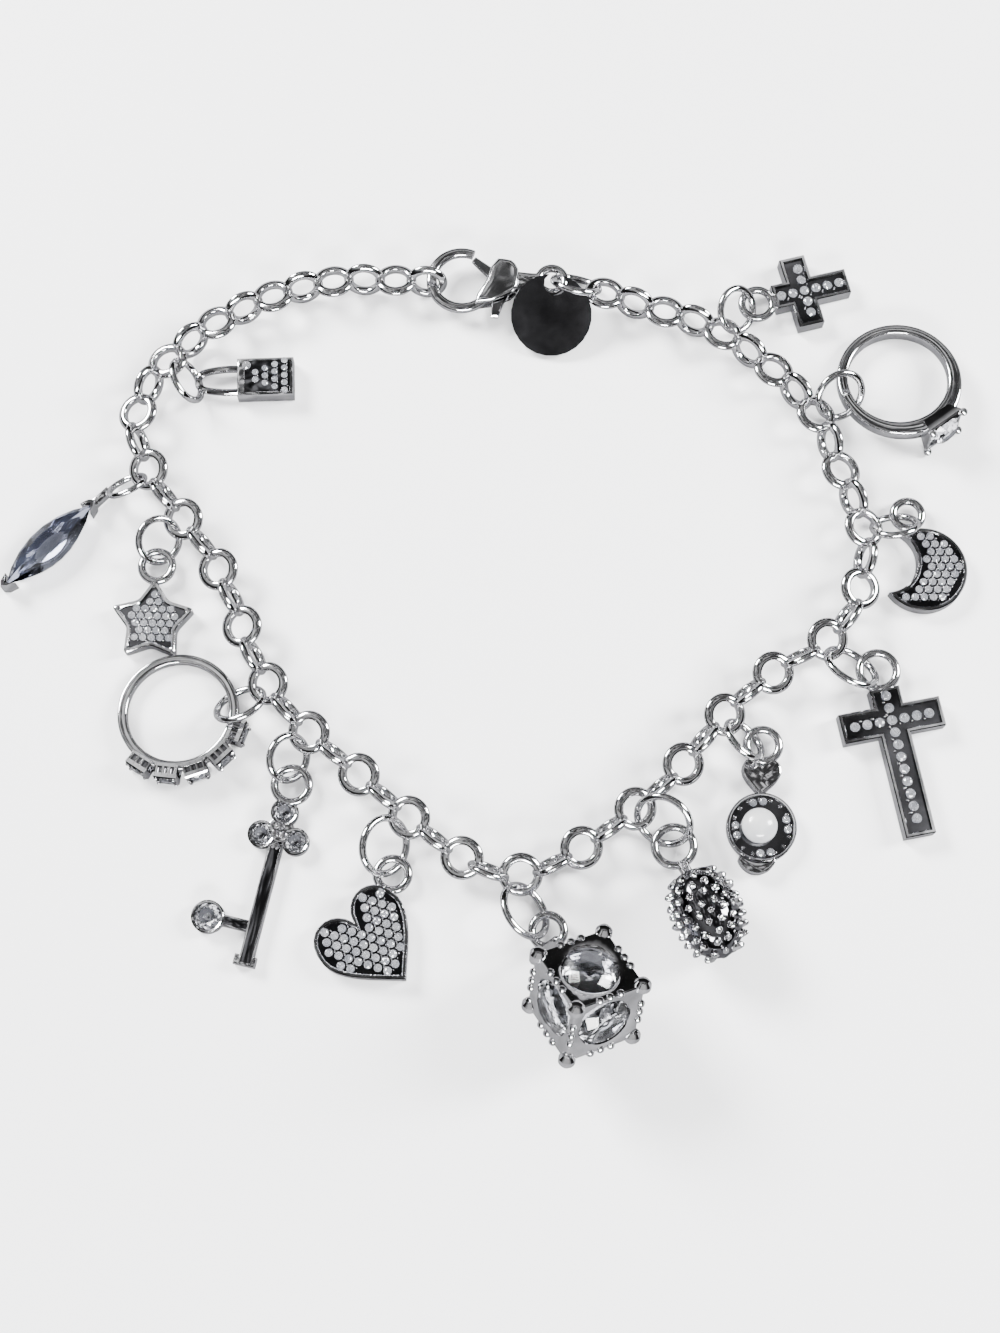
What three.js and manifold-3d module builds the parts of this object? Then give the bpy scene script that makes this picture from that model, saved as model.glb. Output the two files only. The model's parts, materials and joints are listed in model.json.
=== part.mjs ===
// A charm bracelet: a chain of round belcher links with a lobster clasp, a plain round tag,
// and thirteen small charms, lying on a table. Millimetres, +Z up, X to the right of the loop.
import * as THREE from 'three';
import { mergeVertices } from 'three/addons/utils/BufferGeometryUtils.js';
import Module from 'manifold-3d';

const wasm = await Module();
wasm.setup();

// Chain link
const LINK_RADIUS = 2.15;
const LINK_THICKNESS = 0.5;
const LINK_WIDTH = 0.85;
const LINK_SIDES = 10;
const LINK_OVERLAP = 0.06;
const LINK_ROLL = 20;
const HALVES_CLEARANCE = 0.2;

// Jump rings
const RING_WIRE = 0.42;
const RING_SMALL = 2.6;
const RING_MIDDLE = 2.85;
const RING_LARGE = 3.1;
const END_RING = 2.8;
const END_SLACK = 0.4;
const RING_SIDES = 10;
const RING_LEAN = 50;
const RING_GAP = 0.3;

// Clasp
const CLASP_MIDDLE = [0, 41.3];
const CLASP_HEIGHT = 1.75;
const HOOK_CENTRE_X = -4.0;
const HOOK_RADIUS = 3.7;
const HOOK_BAR = 1.0;
const HOOK_THICKNESS = 0.9;
const CHEEK_THICKNESS = 2.0;
const SLOT_THICKNESS = 1.2;
const LEVER_THICKNESS = 0.6;
const LEVER_CLEARANCE = 0.25;
const PIVOT_X = 0.3;
const PIN_RADIUS = 0.4;
const LEVER_BOSS = 0.95;
const LEVER_OPEN = 15;
const EYELET_X = 5.4;
const EYELET_RADIUS = 1.8;
const EYELET_HOLE = 0.95;
const EYELET_THICKNESS = 0.9;

// Tag disc
const TAG_RADIUS = 4.2;
const TAG_THICKNESS = 0.6;
const TAG_HOLE = 1.2;
const TAG_RIM = 3.2;
const TAG_HOOK = 52;
const TAG_TURN = -8;

// Settings shared by the charms
const STONE_GAP = 0.12;
const STONE_FACETS = 8;
const PAVE_WIDTH = 0.78;
const PAVE_HEIGHT = 0.3;
const PAVE_SINK = 0.12;
const RIM_WIDTH = 0.4;
const RIM_HEIGHT = 0.3;
const BAIL_WIRE = 0.8;
const BAIL_LEVEL = 0.95;
const BAIL = 1.95;

// Charm sizes
const PADLOCK_SIZE = [4.2, 5.8, 2.0];
const SHACKLE_LENGTH = 4.5;
const SHACKLE_WIRE = 0.75;
const MARQUISE_LENGTH = 11.6;
const MARQUISE_WIDTH = 3.9;
const MARQUISE_DEPTH = 2.2;
const MARQUISE_BAIL = 2.3;
const MARQUISE_WIRE = 0.5;
const STAR_RADIUS = 4.1;
const STAR_NOTCH = 2.5;
const STAR_THICKNESS = 1.5;
const ROW_RING_RADIUS = 6.0;
const ROW_RING_BAND = 0.95;
const ROW_RING_HEIGHT = 1.0;
const ROW_RING_LIFT = 0.98;
const ROW_RING_TILT = 4;
const ROW_RING_CROWN = -71;
const ROW_STONE = 0.85;
const ROW_STONES = 5;
const KEY_SHAFT = [1.35, 11.6, 1.3];
const KEY_STONE = 1.05;
const KEY_ARM_STONE = 1.3;
const HEART_SIZE = [9.6, 9.4];
const HEART_THICKNESS = 1.7;
const CUBE_SIDE = 7.4;
const CUBE_STONE = 2.65;
const CUBE_SOCKET_DEPTH = 0.85;
const CUBE_BALL = 0.75;
const CUBE_MIDDLE = [7.9, -33.3];
const CUBE_BAIL_LEVEL = 1.2;
const CONE_RADIUS = 3.2;
const CONE_LENGTH = 9.0;
const CONE_ROWS = 6;
const CONE_KNOBS = 6;
const PEARL_RADIUS = 1.75;
const PEARL_FRAME = 3.4;
const CROSS_LARGE = { top: 3.3, foot: 11.7, arm: 5.1, bar: 3.0, thickness: 1.8 };
const CROSS_SMALL = { top: 3.0, foot: 5.0, arm: 3.9, bar: 2.7, thickness: 1.8 };
const MOON_RADIUS = 4.35;
const MOON_CUT = 3.35;
const MOON_THICKNESS = 1.5;
const SOLITAIRE_RADIUS = 6.2;
const SOLITAIRE_BAND = 1.1;
const SOLITAIRE_HEIGHT = 1.5;
const SOLITAIRE_STONE = 1.9;
const SOLITAIRE_LIFT = 1.51;
const SOLITAIRE_TILT = 7;
const SOLITAIRE_HEAD = -54;
const SOLITAIRE_PRONG = 0.42;

// Middle line of the chain on the table, from the clasp's hook round the wrist to the end ring.
const ROUTE = [
  [-6.0, 40.9], [-16.9, 41.1], [-25.4, 38.6], [-32.2, 34.2], [-36.6, 28.6], [-37.0, 22.8],
  [-33.6, 16.9], [-29.3, 11.4], [-26.6, 6.1], [-24.2, -0.2], [-20.5, -5.6], [-15.5, -10.0],
  [-9.9, -14.8], [-4.5, -19.2], [1.0, -21.6], [6.1, -19.8], [12.1, -15.7], [17.3, -11.2],
  [21.9, -5.6], [27.2, -1.0], [33.0, 2.4], [36.1, 7.5], [36.8, 14.0], [34.7, 19.5],
  [32.9, 25.3], [28.7, 30.6], [22.2, 35.7], [15.0, 38.2], [9.4, 40.2],
];

// Where each charm lies: its bail or ring centre, the way that it hangs in degrees, the share
// of the chain where its link is, and the side to which its jump ring leans.
const PLACES = {
  padlock: { at: [-31.6, 30.2], hang: 2, share: 0.135, lean: -1, ring: RING_SMALL, inner: true },
  marquise: { at: [-39.7, 18.4], hang: 226, share: 0.217, lean: 1, ring: RING_SMALL },
  star: { at: [-34.6, 10.2], hang: 268, share: 0.262, lean: -1, ring: RING_SMALL },
  row_ring: { at: [-31.8, -5.0], hang: 290, share: 0.358, lean: 1, ring: RING_MIDDLE },
  key: { at: [-20.4, -12.3], hang: 257, share: 0.382, lean: -1, ring: RING_SMALL },
  heart: { at: [-10.4, -21.1], hang: 270, share: 0.452, lean: -1, ring: RING_LARGE },
  cube: { at: [4.6, -26.6], hang: 300, share: 0.518, lean: -1, ring: RING_LARGE },
  cone: { at: [16.9, -18.4], hang: 292, share: 0.59, lean: 1, ring: RING_LARGE },
  pearl_drop: { at: [25.9, -8.3], hang: 265, share: 0.658, lean: -1, ring: RING_SMALL },
  cross_large: { at: [37.6, -0.7], hang: 281, share: 0.724, lean: -1, ring: RING_LARGE },
  moon: { at: [41.4, 15.7], hang: 285, share: 0.785, lean: -1, ring: RING_SMALL },
  solitaire_ring: { at: [41.0, 30.2], hang: 305, share: 0.856, lean: 1, ring: RING_MIDDLE },
  cross_small: { at: [26.9, 39.0], hang: 14, share: 0.912, lean: 1, ring: RING_SMALL },
};

const radians = (degrees) => degrees * Math.PI / 180;
const vector = (x, y, z = 0) => new THREE.Vector3(x, y, z);
const UP = vector(0, 0, 1);

// A closed geometry as a solid, with its faces pointing out.
function solid(geometry) {
  const bare = geometry.clone();
  bare.deleteAttribute('normal');
  bare.deleteAttribute('uv');
  const merged = mergeVertices(bare, 1e-5);
  const place = merged.attributes.position;
  const corner = (index) => vector(place.getX(index), place.getY(index), place.getZ(index));
  const faces = [];
  let volume = 0;
  for (let i = 0; i < merged.index.count; i += 3) {
    const [a, b, c] = [0, 1, 2].map((step) => merged.index.getX(i + step));
    if (a === b || b === c || c === a) continue;
    volume += corner(a).dot(corner(b).cross(corner(c)));
    faces.push([a, b, c]);
  }
  const outward = volume < 0 ? faces.map(([a, b, c]) => [a, c, b]) : faces;
  return new wasm.Manifold(new wasm.Mesh({
    numProp: 3,
    vertProperties: Float32Array.from(place.array),
    triVerts: Uint32Array.from(outward.flat()),
  }));
}

// The geometries joined into one solid, less the tools.
function fuse(pieces, tools = []) {
  let whole = pieces.map(solid).reduce((sum, piece) => sum.add(piece));
  for (const tool of tools) whole = whole.subtract(solid(tool));
  const mesh = whole.getMesh();
  const geometry = new THREE.BufferGeometry();
  geometry.setAttribute('position', new THREE.BufferAttribute(mesh.vertProperties, 3));
  geometry.setIndex(new THREE.BufferAttribute(mesh.triVerts, 1));
  return geometry;
}

const moved = (geometry, x, y, z = 0) => geometry.clone().translate(x, y, z);
const turned = (geometry, degrees) => geometry.clone().rotateZ(radians(degrees));

function plate(points, bottom, top, holes = []) {
  const shape = points instanceof THREE.Shape ? points : new THREE.Shape(points);
  shape.holes.push(...holes);
  const options = { depth: top - bottom, bevelEnabled: false, curveSegments: 4 };
  return new THREE.ExtrudeGeometry(shape, options).translate(0, 0, bottom);
}

const box = (x0, x1, y0, y1, z0, z1) => new THREE.BoxGeometry(x1 - x0, y1 - y0, z1 - z0)
  .translate((x0 + x1) / 2, (y0 + y1) / 2, (z0 + z1) / 2);

const drum = (radius, z0, z1, sides = 12) => new THREE.CylinderGeometry(radius, radius, z1 - z0, sides)
  .rotateX(Math.PI / 2).translate(0, 0, (z0 + z1) / 2);

const ball = (radius) => new THREE.IcosahedronGeometry(radius, 0);

// A ring about Z at the origin: a closed profile of radius and height, turned round.
function ringFrom(profile, sides) {
  const closed = [...profile, profile[0]].map(([x, y]) => new THREE.Vector2(x, y));
  return new THREE.LatheGeometry(closed, sides).rotateX(Math.PI / 2);
}

function wireRing(outer, wire, sides = RING_SIDES) {
  const middle = outer - wire / 2;
  const profile = [0, 1, 2, 3, 4].map((k) => [
    middle + wire / 2 * Math.cos(radians(72 * k)), wire / 2 * Math.sin(radians(72 * k)),
  ]);
  return ringFrom(profile, sides);
}

// A belcher link's D section: flat inside, crowned outside.
function chainLink() {
  const inner = LINK_RADIUS - LINK_THICKNESS;
  const shoulder = LINK_RADIUS - LINK_THICKNESS * 0.45;
  const half = LINK_WIDTH / 2;
  const profile = [[inner, -half], [shoulder, -half], [LINK_RADIUS, 0], [shoulder, half], [inner, half]];
  return ringFrom(profile, LINK_SIDES);
}

// A tube of five sides along a list of points.
function tube(points, wire) {
  const section = [0, 1, 2, 3, 4].map((k) => new THREE.Vector2(
    wire / 2 * Math.cos(radians(72 * k)), wire / 2 * Math.sin(radians(72 * k))));
  const path = new THREE.CatmullRomCurve3(points, false, 'catmullrom', 0.5);
  const options = { steps: 10, extrudePath: path, bevelEnabled: false };
  return new THREE.ExtrudeGeometry(new THREE.Shape(section), options);
}

// A small cut stone, sunk in its plate: square below, with a table and eight facets.
function paveStone(width = PAVE_WIDTH) {
  const corners = [];
  const layers = [[-PAVE_SINK, width / Math.SQRT2, 45], [PAVE_HEIGHT, width * 0.36, 0]];
  for (const [z, radius, start] of layers) {
    for (let k = 0; k < 4; k += 1) {
      const angle = radians(start + 90 * k);
      corners.push(radius * Math.cos(angle), radius * Math.sin(angle), z);
    }
  }
  const faces = [0, 2, 1, 0, 3, 2, 4, 5, 6, 4, 6, 7];
  for (let k = 0; k < 4; k += 1) {
    const next = (k + 1) % 4;
    faces.push(k, next, 4 + next, k, 4 + next, 4 + k);
  }
  const stone = new THREE.BufferGeometry();
  stone.setAttribute('position', new THREE.Float32BufferAttribute(corners, 3));
  stone.setIndex(faces);
  return stone;
}

const pave = (places, floor, width) => places.map(([x, y]) => moved(paveStone(width), x, y, floor));

// A round cut stone with a table, a crown and a pavilion; z = 0 is the bottom of its girdle.
function cutStone(radius, crown = radius * 0.4, pavilion = radius * 0.45) {
  const profile = [[0, -pavilion], [radius, 0], [radius * 0.6, crown], [0, crown]]
    .map(([x, y]) => new THREE.Vector2(x, y));
  return new THREE.LatheGeometry(profile, STONE_FACETS).rotateX(Math.PI / 2);
}

// The chain's own geometry: joints marched along the route, flat and upright links in turn.
const restHeight = (roll) => LINK_RADIUS * Math.abs(Math.sin(roll))
  + LINK_WIDTH / 2 * Math.abs(Math.cos(roll));
const FLAT = radians(-LINK_ROLL);
const UPRIGHT = radians(90 - LINK_ROLL);
const JOINT_HEIGHT = restHeight(UPRIGHT);
const LINK_REACH = Math.sqrt((LINK_RADIUS - LINK_THICKNESS) ** 2 - (LINK_WIDTH / 2) ** 2) + LINK_OVERLAP / 2;

function routePoints() {
  const curve = new THREE.CatmullRomCurve3(ROUTE.map(([x, y]) => vector(x, y)), false, 'catmullrom', 0.5);
  const points = curve.getPoints(ROUTE.length * 40);
  const end = points.at(-1);
  const last = end.clone().sub(points.at(-2)).normalize();
  return [...points, end.clone().addScaledVector(last, 4 * LINK_RADIUS)];
}

function march(points, steps) {
  const joints = [points[0]];
  let index = 1;
  for (const step of steps) {
    const from = joints.at(-1);
    while (index < points.length - 1 && points[index].distanceTo(from) < step) index += 1;
    const near = points[index - 1].distanceTo(from);
    const far = points[index].distanceTo(from);
    joints.push(points[index - 1].clone().lerp(points[index], (step - near) / (far - near)));
  }
  return joints;
}

function chainLinks() {
  const points = routePoints();
  let length = 0;
  for (let i = 1; i < points.length - 1; i += 1) length += points[i].distanceTo(points[i - 1]);
  const count = 2 * Math.round(length / LINK_REACH / 4);
  const middle = 2 * Math.round(count / 4);
  const end = points.at(-2);
  let ease = 1;
  let joints = [];
  for (let pass = 0; pass < 8; pass += 1) {
    const steps = [];
    for (let k = 0; k < count; k += 1) {
      const trim = (k === middle || k === middle - 1) ? HALVES_CLEARANCE : 0;
      steps.push(ease * 2 * LINK_REACH - trim);
    }
    joints = march(points, steps);
    const ahead = joints.at(-1).clone().sub(end).dot(end.clone().sub(points.at(-3)).normalize());
    ease *= length / (length + ahead);
  }
  const links = [];
  for (let k = 0; k < count; k += 1) {
    const along = joints[k + 1].clone().sub(joints[k]).normalize();
    const outward = vector(along.y, -along.x);
    const roll = k % 2 ? FLAT : UPRIGHT;
    const across = outward.multiplyScalar(Math.cos(roll)).addScaledVector(UP, Math.sin(roll));
    const slack = HALVES_CLEARANCE / 2;
    const shift = k === middle ? -slack : k === middle - 1 ? slack : 0;
    const centre = joints[k].clone().lerp(joints[k + 1], 0.5).addScaledVector(along, shift);
    centre.setZ(JOINT_HEIGHT);
    links.push({ centre, along, across, half: k < middle ? 'left' : 'right' });
  }
  return links;
}

const LINKS = chainLinks();

function placedLink({ centre, along, across }) {
  const frame = new THREE.Matrix4().makeBasis(along, across, along.clone().cross(across));
  return chainLink().applyMatrix4(frame.setPosition(centre));
}

// The flat link nearest to a share of the chain's length.
function flatLink(share) {
  const index = Math.round((share * LINKS.length - 1) / 2) * 2 + 1;
  return LINKS[Math.min(index, LINKS.length - 1)];
}

function linkWire(share, inner) {
  const link = flatLink(share);
  const reach = (inner ? -1 : 1) * (LINK_RADIUS - LINK_THICKNESS / 2);
  return link.centre.clone().addScaledVector(link.across, reach);
}

// How far from a leaning ring's centre a bar of this size can be.
function ringReach(outer, wire, bar, height) {
  const cut = height / 2 / Math.sin(radians(RING_LEAN));
  const inner = (outer - wire) * Math.cos(Math.PI / RING_SIDES);
  return Math.sqrt(inner ** 2 - cut ** 2) - bar / 2 - RING_GAP;
}

// A round ring that holds two bars and leans on the table, as a matrix for a ring about Z.
function leaningRing(outer, wire, first, second, side) {
  const way = second.point.clone().sub(first.point);
  const gap = way.length();
  const along = way.normalize();
  const sideways = vector(-along.y, along.x).normalize().multiplyScalar(side);
  const near = first.reach;
  const far = second.reach;
  const step = (gap ** 2 + near ** 2 - far ** 2) / (2 * gap);
  const rise = Math.sqrt(Math.max(near ** 2 - step ** 2, 0));
  const middle = first.point.clone().addScaledVector(along, step);
  const most = Math.asin(Math.min(0.98, middle.z / (outer - rise)));
  const lean = Math.min(radians(RING_LEAN), most);
  const upward = sideways.multiplyScalar(Math.cos(lean)).addScaledVector(UP, Math.sin(lean));
  upward.addScaledVector(along, -upward.dot(along)).normalize();
  middle.addScaledVector(upward, rise);
  const drop = outer * Math.sqrt(along.z ** 2 + upward.z ** 2);
  middle.z = Math.max(middle.z, drop + 0.02);
  return new THREE.Matrix4().makeBasis(along, upward, along.clone().cross(upward)).setPosition(middle);
}

const linkReach = (outer, wire) => ringReach(outer, wire, LINK_THICKNESS, LINK_WIDTH);

// A charm's own frame: its bail at the origin, hanging along -Y, its back on z = 0.
function charmMatrix(name) {
  const { at, hang } = PLACES[name];
  const frame = new THREE.Matrix4().makeRotationZ(radians(hang + 90));
  return frame.setPosition(at[0], at[1], 0);
}

// The jump ring from a charm's link to its bail or band, whose middle line has this radius.
function jumpRing(name, radius, bar, height, level) {
  const { at, share, lean, ring, inner } = PLACES[name];
  const wire = linkWire(share, inner);
  const toward = wire.clone().setZ(0).sub(vector(at[0], at[1])).setLength(radius);
  const hold = vector(at[0], at[1], level).add(toward);
  const first = { point: wire, reach: linkReach(ring, RING_WIRE) };
  const second = { point: hold, reach: ringReach(ring, RING_WIRE, bar, height) };
  const matrix = leaningRing(ring, RING_WIRE, first, second, lean);
  return wireRing(ring, RING_WIRE).applyMatrix4(matrix);
}

// Clasp

const hookZ = [CLASP_HEIGHT - HOOK_THICKNESS / 2, CLASP_HEIGHT + HOOK_THICKNESS / 2];
const PIVOT = [PIVOT_X, -0.2];

function arcPoints(x, y, radius, from, to, steps) {
  const points = [];
  for (let k = 0; k <= steps; k += 1) {
    const angle = radians(from + (to - from) * k / steps);
    points.push(new THREE.Vector2(x + radius * Math.cos(angle), y + radius * Math.sin(angle)));
  }
  return points;
}

function claspBody() {
  const inner = HOOK_RADIUS - HOOK_BAR;
  const [x, y] = PIVOT;
  const hook = plate([
    ...arcPoints(HOOK_CENTRE_X, 0, HOOK_RADIUS, 72, 318, 14),
    ...arcPoints(HOOK_CENTRE_X, 0, inner, 318, 78, 14),
  ], ...hookZ);
  const cheeks = plate([
    [-2.6, -2.9], [-1.0, -2.7], [1.2, -1.8], [1.9, -0.9], [1.9, 1.0], [1.2, 2.0], [-0.2, 2.2],
    [-0.9, 1.3], [-1.5, -0.4], [-2.4, -1.9],
  ].map(([px, py]) => new THREE.Vector2(px, py)),
  CLASP_HEIGHT - CHEEK_THICKNESS / 2, CLASP_HEIGHT + CHEEK_THICKNESS / 2);
  const tail = plate([
    [1.2, -0.9], [3.2, -0.75], [EYELET_X - 1.2, -0.7], [EYELET_X - 1.2, 0.7], [3.2, 0.75], [1.2, 1.0],
  ].map(([px, py]) => new THREE.Vector2(px, py)),
  CLASP_HEIGHT - EYELET_THICKNESS / 2, CLASP_HEIGHT + EYELET_THICKNESS / 2);
  const middle = EYELET_RADIUS - (EYELET_RADIUS - EYELET_HOLE) / 2;
  const eyelet = wireRing(EYELET_RADIUS, 2 * (EYELET_RADIUS - middle)).translate(EYELET_X, 0, CLASP_HEIGHT);
  const pin = drum(PIN_RADIUS, CLASP_HEIGHT - SLOT_THICKNESS / 2 - 0.2,
    CLASP_HEIGHT + SLOT_THICKNESS / 2 + 0.2, 8).translate(x, y, 0);
  return fuse([fuse([cheeks, hook, tail, eyelet], [leverSweep()]), pin]);
}

function leverOutline(grow) {
  const [x, y] = PIVOT;
  return [
    [x - 0.3, y + LEVER_BOSS + 1.4 * grow], [-2.55, 2.6 + 1.4 * grow], [-2.95 - grow, 2.1],
    [-2.7, 1.8 - grow], [x - LEVER_BOSS - grow, y - 0.1], [-0.95 - grow, -4.2 - grow],
    [-0.25 + grow, -4.2 - grow], [x + LEVER_BOSS + grow, y - 0.3], [x + LEVER_BOSS + grow, y + 0.5],
    [x + 0.4, y + LEVER_BOSS + grow],
  ].map(([px, py]) => new THREE.Vector2(px, py));
}

// The room that the lever turns in, cut from the hook's root.
function leverSweep() {
  const [x, y] = PIVOT;
  const middle = CLASP_HEIGHT;
  const turn = (degrees) => moved(turned(moved(
    plate(leverOutline(LEVER_CLEARANCE), middle - SLOT_THICKNESS / 2, middle + SLOT_THICKNESS / 2),
    -x, -y), degrees), x, y);
  const half = SLOT_THICKNESS / 2;
  const boss = drum(LEVER_BOSS + LEVER_CLEARANCE, middle - half, middle + half).translate(x, y, 0);
  return fuse([turn(0), turn(LEVER_OPEN / 2), turn(LEVER_OPEN), boss]);
}

function claspLever() {
  const [x, y] = PIVOT;
  const z = [CLASP_HEIGHT - LEVER_THICKNESS / 2, CLASP_HEIGHT + LEVER_THICKNESS / 2];
  const boss = drum(LEVER_BOSS, ...z).translate(x, y, 0);
  const bore = drum(PIN_RADIUS + 0.2, z[0] - 1, z[1] + 1, 10).translate(x, y, 0);
  return fuse([plate(leverOutline(0), ...z), boss], [bore]);
}

const onClasp = (geometry) => moved(geometry, ...CLASP_MIDDLE);

function endRingMatrix() {
  const link = LINKS.at(-1);
  const end = link.centre.clone().addScaledVector(link.along, LINK_RADIUS - LINK_THICKNESS / 2);
  const bar = EYELET_RADIUS - EYELET_HOLE;
  const eye = vector(EYELET_X + EYELET_RADIUS - bar / 2, CLASP_MIDDLE[1], CLASP_HEIGHT);
  const first = { point: end, reach: linkReach(END_RING, RING_WIRE) - END_SLACK };
  const second = { point: eye, reach: ringReach(END_RING, RING_WIRE, bar, EYELET_THICKNESS) };
  return leaningRing(END_RING, RING_WIRE, first, second, 1);
}

function tagDisc(ringMatrix) {
  const disc = drum(TAG_RADIUS, 0, TAG_THICKNESS, 24);
  const hole = drum(TAG_HOLE, -1, TAG_THICKNESS + 1, 10).translate(0, TAG_RIM, 0);
  const angle = radians(TAG_HOOK);
  const hook = vector(Math.cos(angle), Math.sin(angle)).multiplyScalar(END_RING - RING_WIRE / 2);
  const point = hook.applyMatrix4(ringMatrix);
  const tilt = Math.asin((point.z - TAG_THICKNESS / 2) / (TAG_RIM + TAG_RADIUS));
  const tag = fuse([disc], [hole]).translate(0, -TAG_RIM, -TAG_THICKNESS / 2);
  return tag.rotateX(tilt).rotateZ(radians(TAG_TURN)).translate(point.x, point.y, point.z);
}

// Charms, each in its own frame

const bailRing = (outer = BAIL, level = BAIL_LEVEL) => wireRing(outer, BAIL_WIRE, 10).translate(0, 0, level);

function padlock() {
  const [width, length, thickness] = PADLOCK_SIZE;
  const top = -SHACKLE_LENGTH;
  const body = box(-width / 2, width / 2, top - length, top, 0, thickness);
  const span = width * 0.3;
  const level = thickness / 2;
  const shackle = tube([
    vector(-span, top - 0.4, level), vector(-span, top + 1.6, level), vector(-span * 0.7, -0.9, level),
    vector(0, -SHACKLE_WIRE / 2, level), vector(span * 0.7, -0.9, level), vector(span, top + 1.6, level),
    vector(span, top - 0.4, level),
  ], SHACKLE_WIRE);
  const stones = [];
  for (let row = 0; row < 4; row += 1) {
    for (let k = 0; k <= row + 1; k += 1) stones.push([(k - (row + 1) / 2) * 0.82, top - 1.9 - row]);
  }
  const dot = drum(0.45, thickness - 0.2, thickness + 0.2, 8).translate(1.2, top - 1.0, 0);
  return fuse([body, shackle, dot, ...pave(stones, thickness, 0.62)]);
}

// A pointed oval of two arcs, with a table, in as many steps as it is given.
function marquiseOutline(length, width, steps) {
  const radius = (length ** 2 / 4 + width ** 2 / 4) / width;
  const spread = THREE.MathUtils.radToDeg(Math.asin(length / 2 / radius));
  const right = arcPoints(width / 2 - radius, 0, radius, -spread, spread, steps);
  const left = arcPoints(radius - width / 2, 0, radius, 180 - spread, 180 + spread, steps);
  return [...right.slice(0, -1), ...left.slice(0, -1)];
}

function marquiseStone() {
  const layers = [
    [0.35, 0.0], [1, MARQUISE_DEPTH * 0.45], [1, MARQUISE_DEPTH * 0.55], [0.55, MARQUISE_DEPTH],
  ];
  const outline = marquiseOutline(MARQUISE_LENGTH, MARQUISE_WIDTH, 5);
  const corners = layers.flatMap(([share, z]) => outline.flatMap((p) => [p.x * share, p.y * share, z]));
  const count = outline.length;
  const faces = [];
  for (let layer = 0; layer < layers.length - 1; layer += 1) {
    for (let k = 0; k < count; k += 1) {
      const a = layer * count + k;
      const b = layer * count + (k + 1) % count;
      faces.push(a, b, b + count, a, b + count, a + count);
    }
  }
  const top = (layers.length - 1) * count;
  for (let k = 1; k < count - 1; k += 1) faces.push(0, k + 1, k, top, top + k, top + k + 1);
  const stone = new THREE.BufferGeometry();
  stone.setAttribute('position', new THREE.Float32BufferAttribute(corners, 3));
  stone.setIndex(faces);
  return fuse([stone.translate(0, -MARQUISE_LENGTH / 2 - 2.6, 0.3)]);
}

// The marquise's wire basket, with a V prong at each tip, and the pinched bail above it.
function marquiseSetting(bail) {
  const middle = -MARQUISE_LENGTH / 2 - 2.6;
  const basket = plate(marquiseOutline(MARQUISE_LENGTH * 0.8, MARQUISE_WIDTH * 0.8, 5), 0, 0.18)
    .translate(0, middle, 0);
  const tips = [1, -1].map((end) => {
    const y = middle + end * (MARQUISE_LENGTH / 2 + 0.5);
    return box(-0.55, 0.55, y - 0.35, y + 0.35, 0, MARQUISE_DEPTH + 0.5);
  });
  const spine = box(-0.35, 0.35, middle - MARQUISE_LENGTH / 2 - 0.6, middle + MARQUISE_LENGTH / 2 + 0.6, 0, 0.18);
  const neck = box(-0.45, 0.45, middle + MARQUISE_LENGTH / 2 + 0.4, -0.2, 0.4, 1.5);
  return fuse([basket, spine, ...tips, neck, bail]);
}

function marquiseBail() {
  const { at, share } = PLACES.marquise;
  const wire = linkWire(share);
  const hold = vector(at[0], at[1], 1.0);
  const first = { point: wire, reach: linkReach(MARQUISE_BAIL, MARQUISE_WIRE) };
  const second = { point: hold, reach: MARQUISE_BAIL - MARQUISE_WIRE / 2 };
  const matrix = leaningRing(MARQUISE_BAIL, MARQUISE_WIRE, first, second, 1);
  return wireRing(MARQUISE_BAIL, MARQUISE_WIRE).applyMatrix4(matrix).applyMatrix4(charmMatrix('marquise').invert());
}

function starPoints(share) {
  return Array.from({ length: 10 }, (_, k) => {
    const radius = (k % 2 ? STAR_NOTCH : STAR_RADIUS) * share;
    const angle = radians(90 + 36 * k);
    return new THREE.Vector2(radius * Math.cos(angle), radius * Math.sin(angle));
  });
}

function star() {
  const centre = -STAR_RADIUS - 1.7;
  const inner = 1 - RIM_WIDTH / STAR_NOTCH * 1.2;
  const rim = plate(starPoints(1), 0, STAR_THICKNESS);
  const well = plate(starPoints(inner), STAR_THICKNESS - RIM_HEIGHT, STAR_THICKNESS + 1);
  const stones = [[0, 0]];
  for (let k = 0; k < 5; k += 1) {
    const angle = radians(90 + 72 * k);
    for (const radius of [1.0, 2.0]) stones.push([radius * Math.cos(angle), radius * Math.sin(angle)]);
  }
  const plateWithRim = fuse([rim], [well]);
  const body = fuse([plateWithRim, ...pave(stones, STAR_THICKNESS - RIM_HEIGHT, 0.66)]);
  return fuse([body.translate(0, centre, 0), bailRing()]);
}

const bandRing = (outer, band, height, sides = 20) => ringFrom(
  [[outer - band, 0], [outer, 0], [outer, height], [outer - band, height]], sides);

const ROW_PITCH = 26;
const ROW_ANGLES = Array.from({ length: ROW_STONES }, (_, k) => ROW_PITCH * (k - (ROW_STONES - 1) / 2));

// A setting put on a finger ring's outside, facing outward, at an angle from the crown.
function onBand(geometry, outer, angle = 0) {
  return geometry.rotateY(Math.PI / 2).translate(outer, 0, 0).rotateZ(radians(angle));
}

// A finger ring lies on its band's far side and on its crown, so it is tilted a little.
function fingerRingMatrix(name, lift, crown, tilt) {
  const turn = new THREE.Matrix4().makeRotationZ(radians(crown));
  turn.multiply(new THREE.Matrix4().makeRotationY(radians(-tilt)));
  return turn.setPosition(...PLACES[name].at, lift);
}

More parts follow.
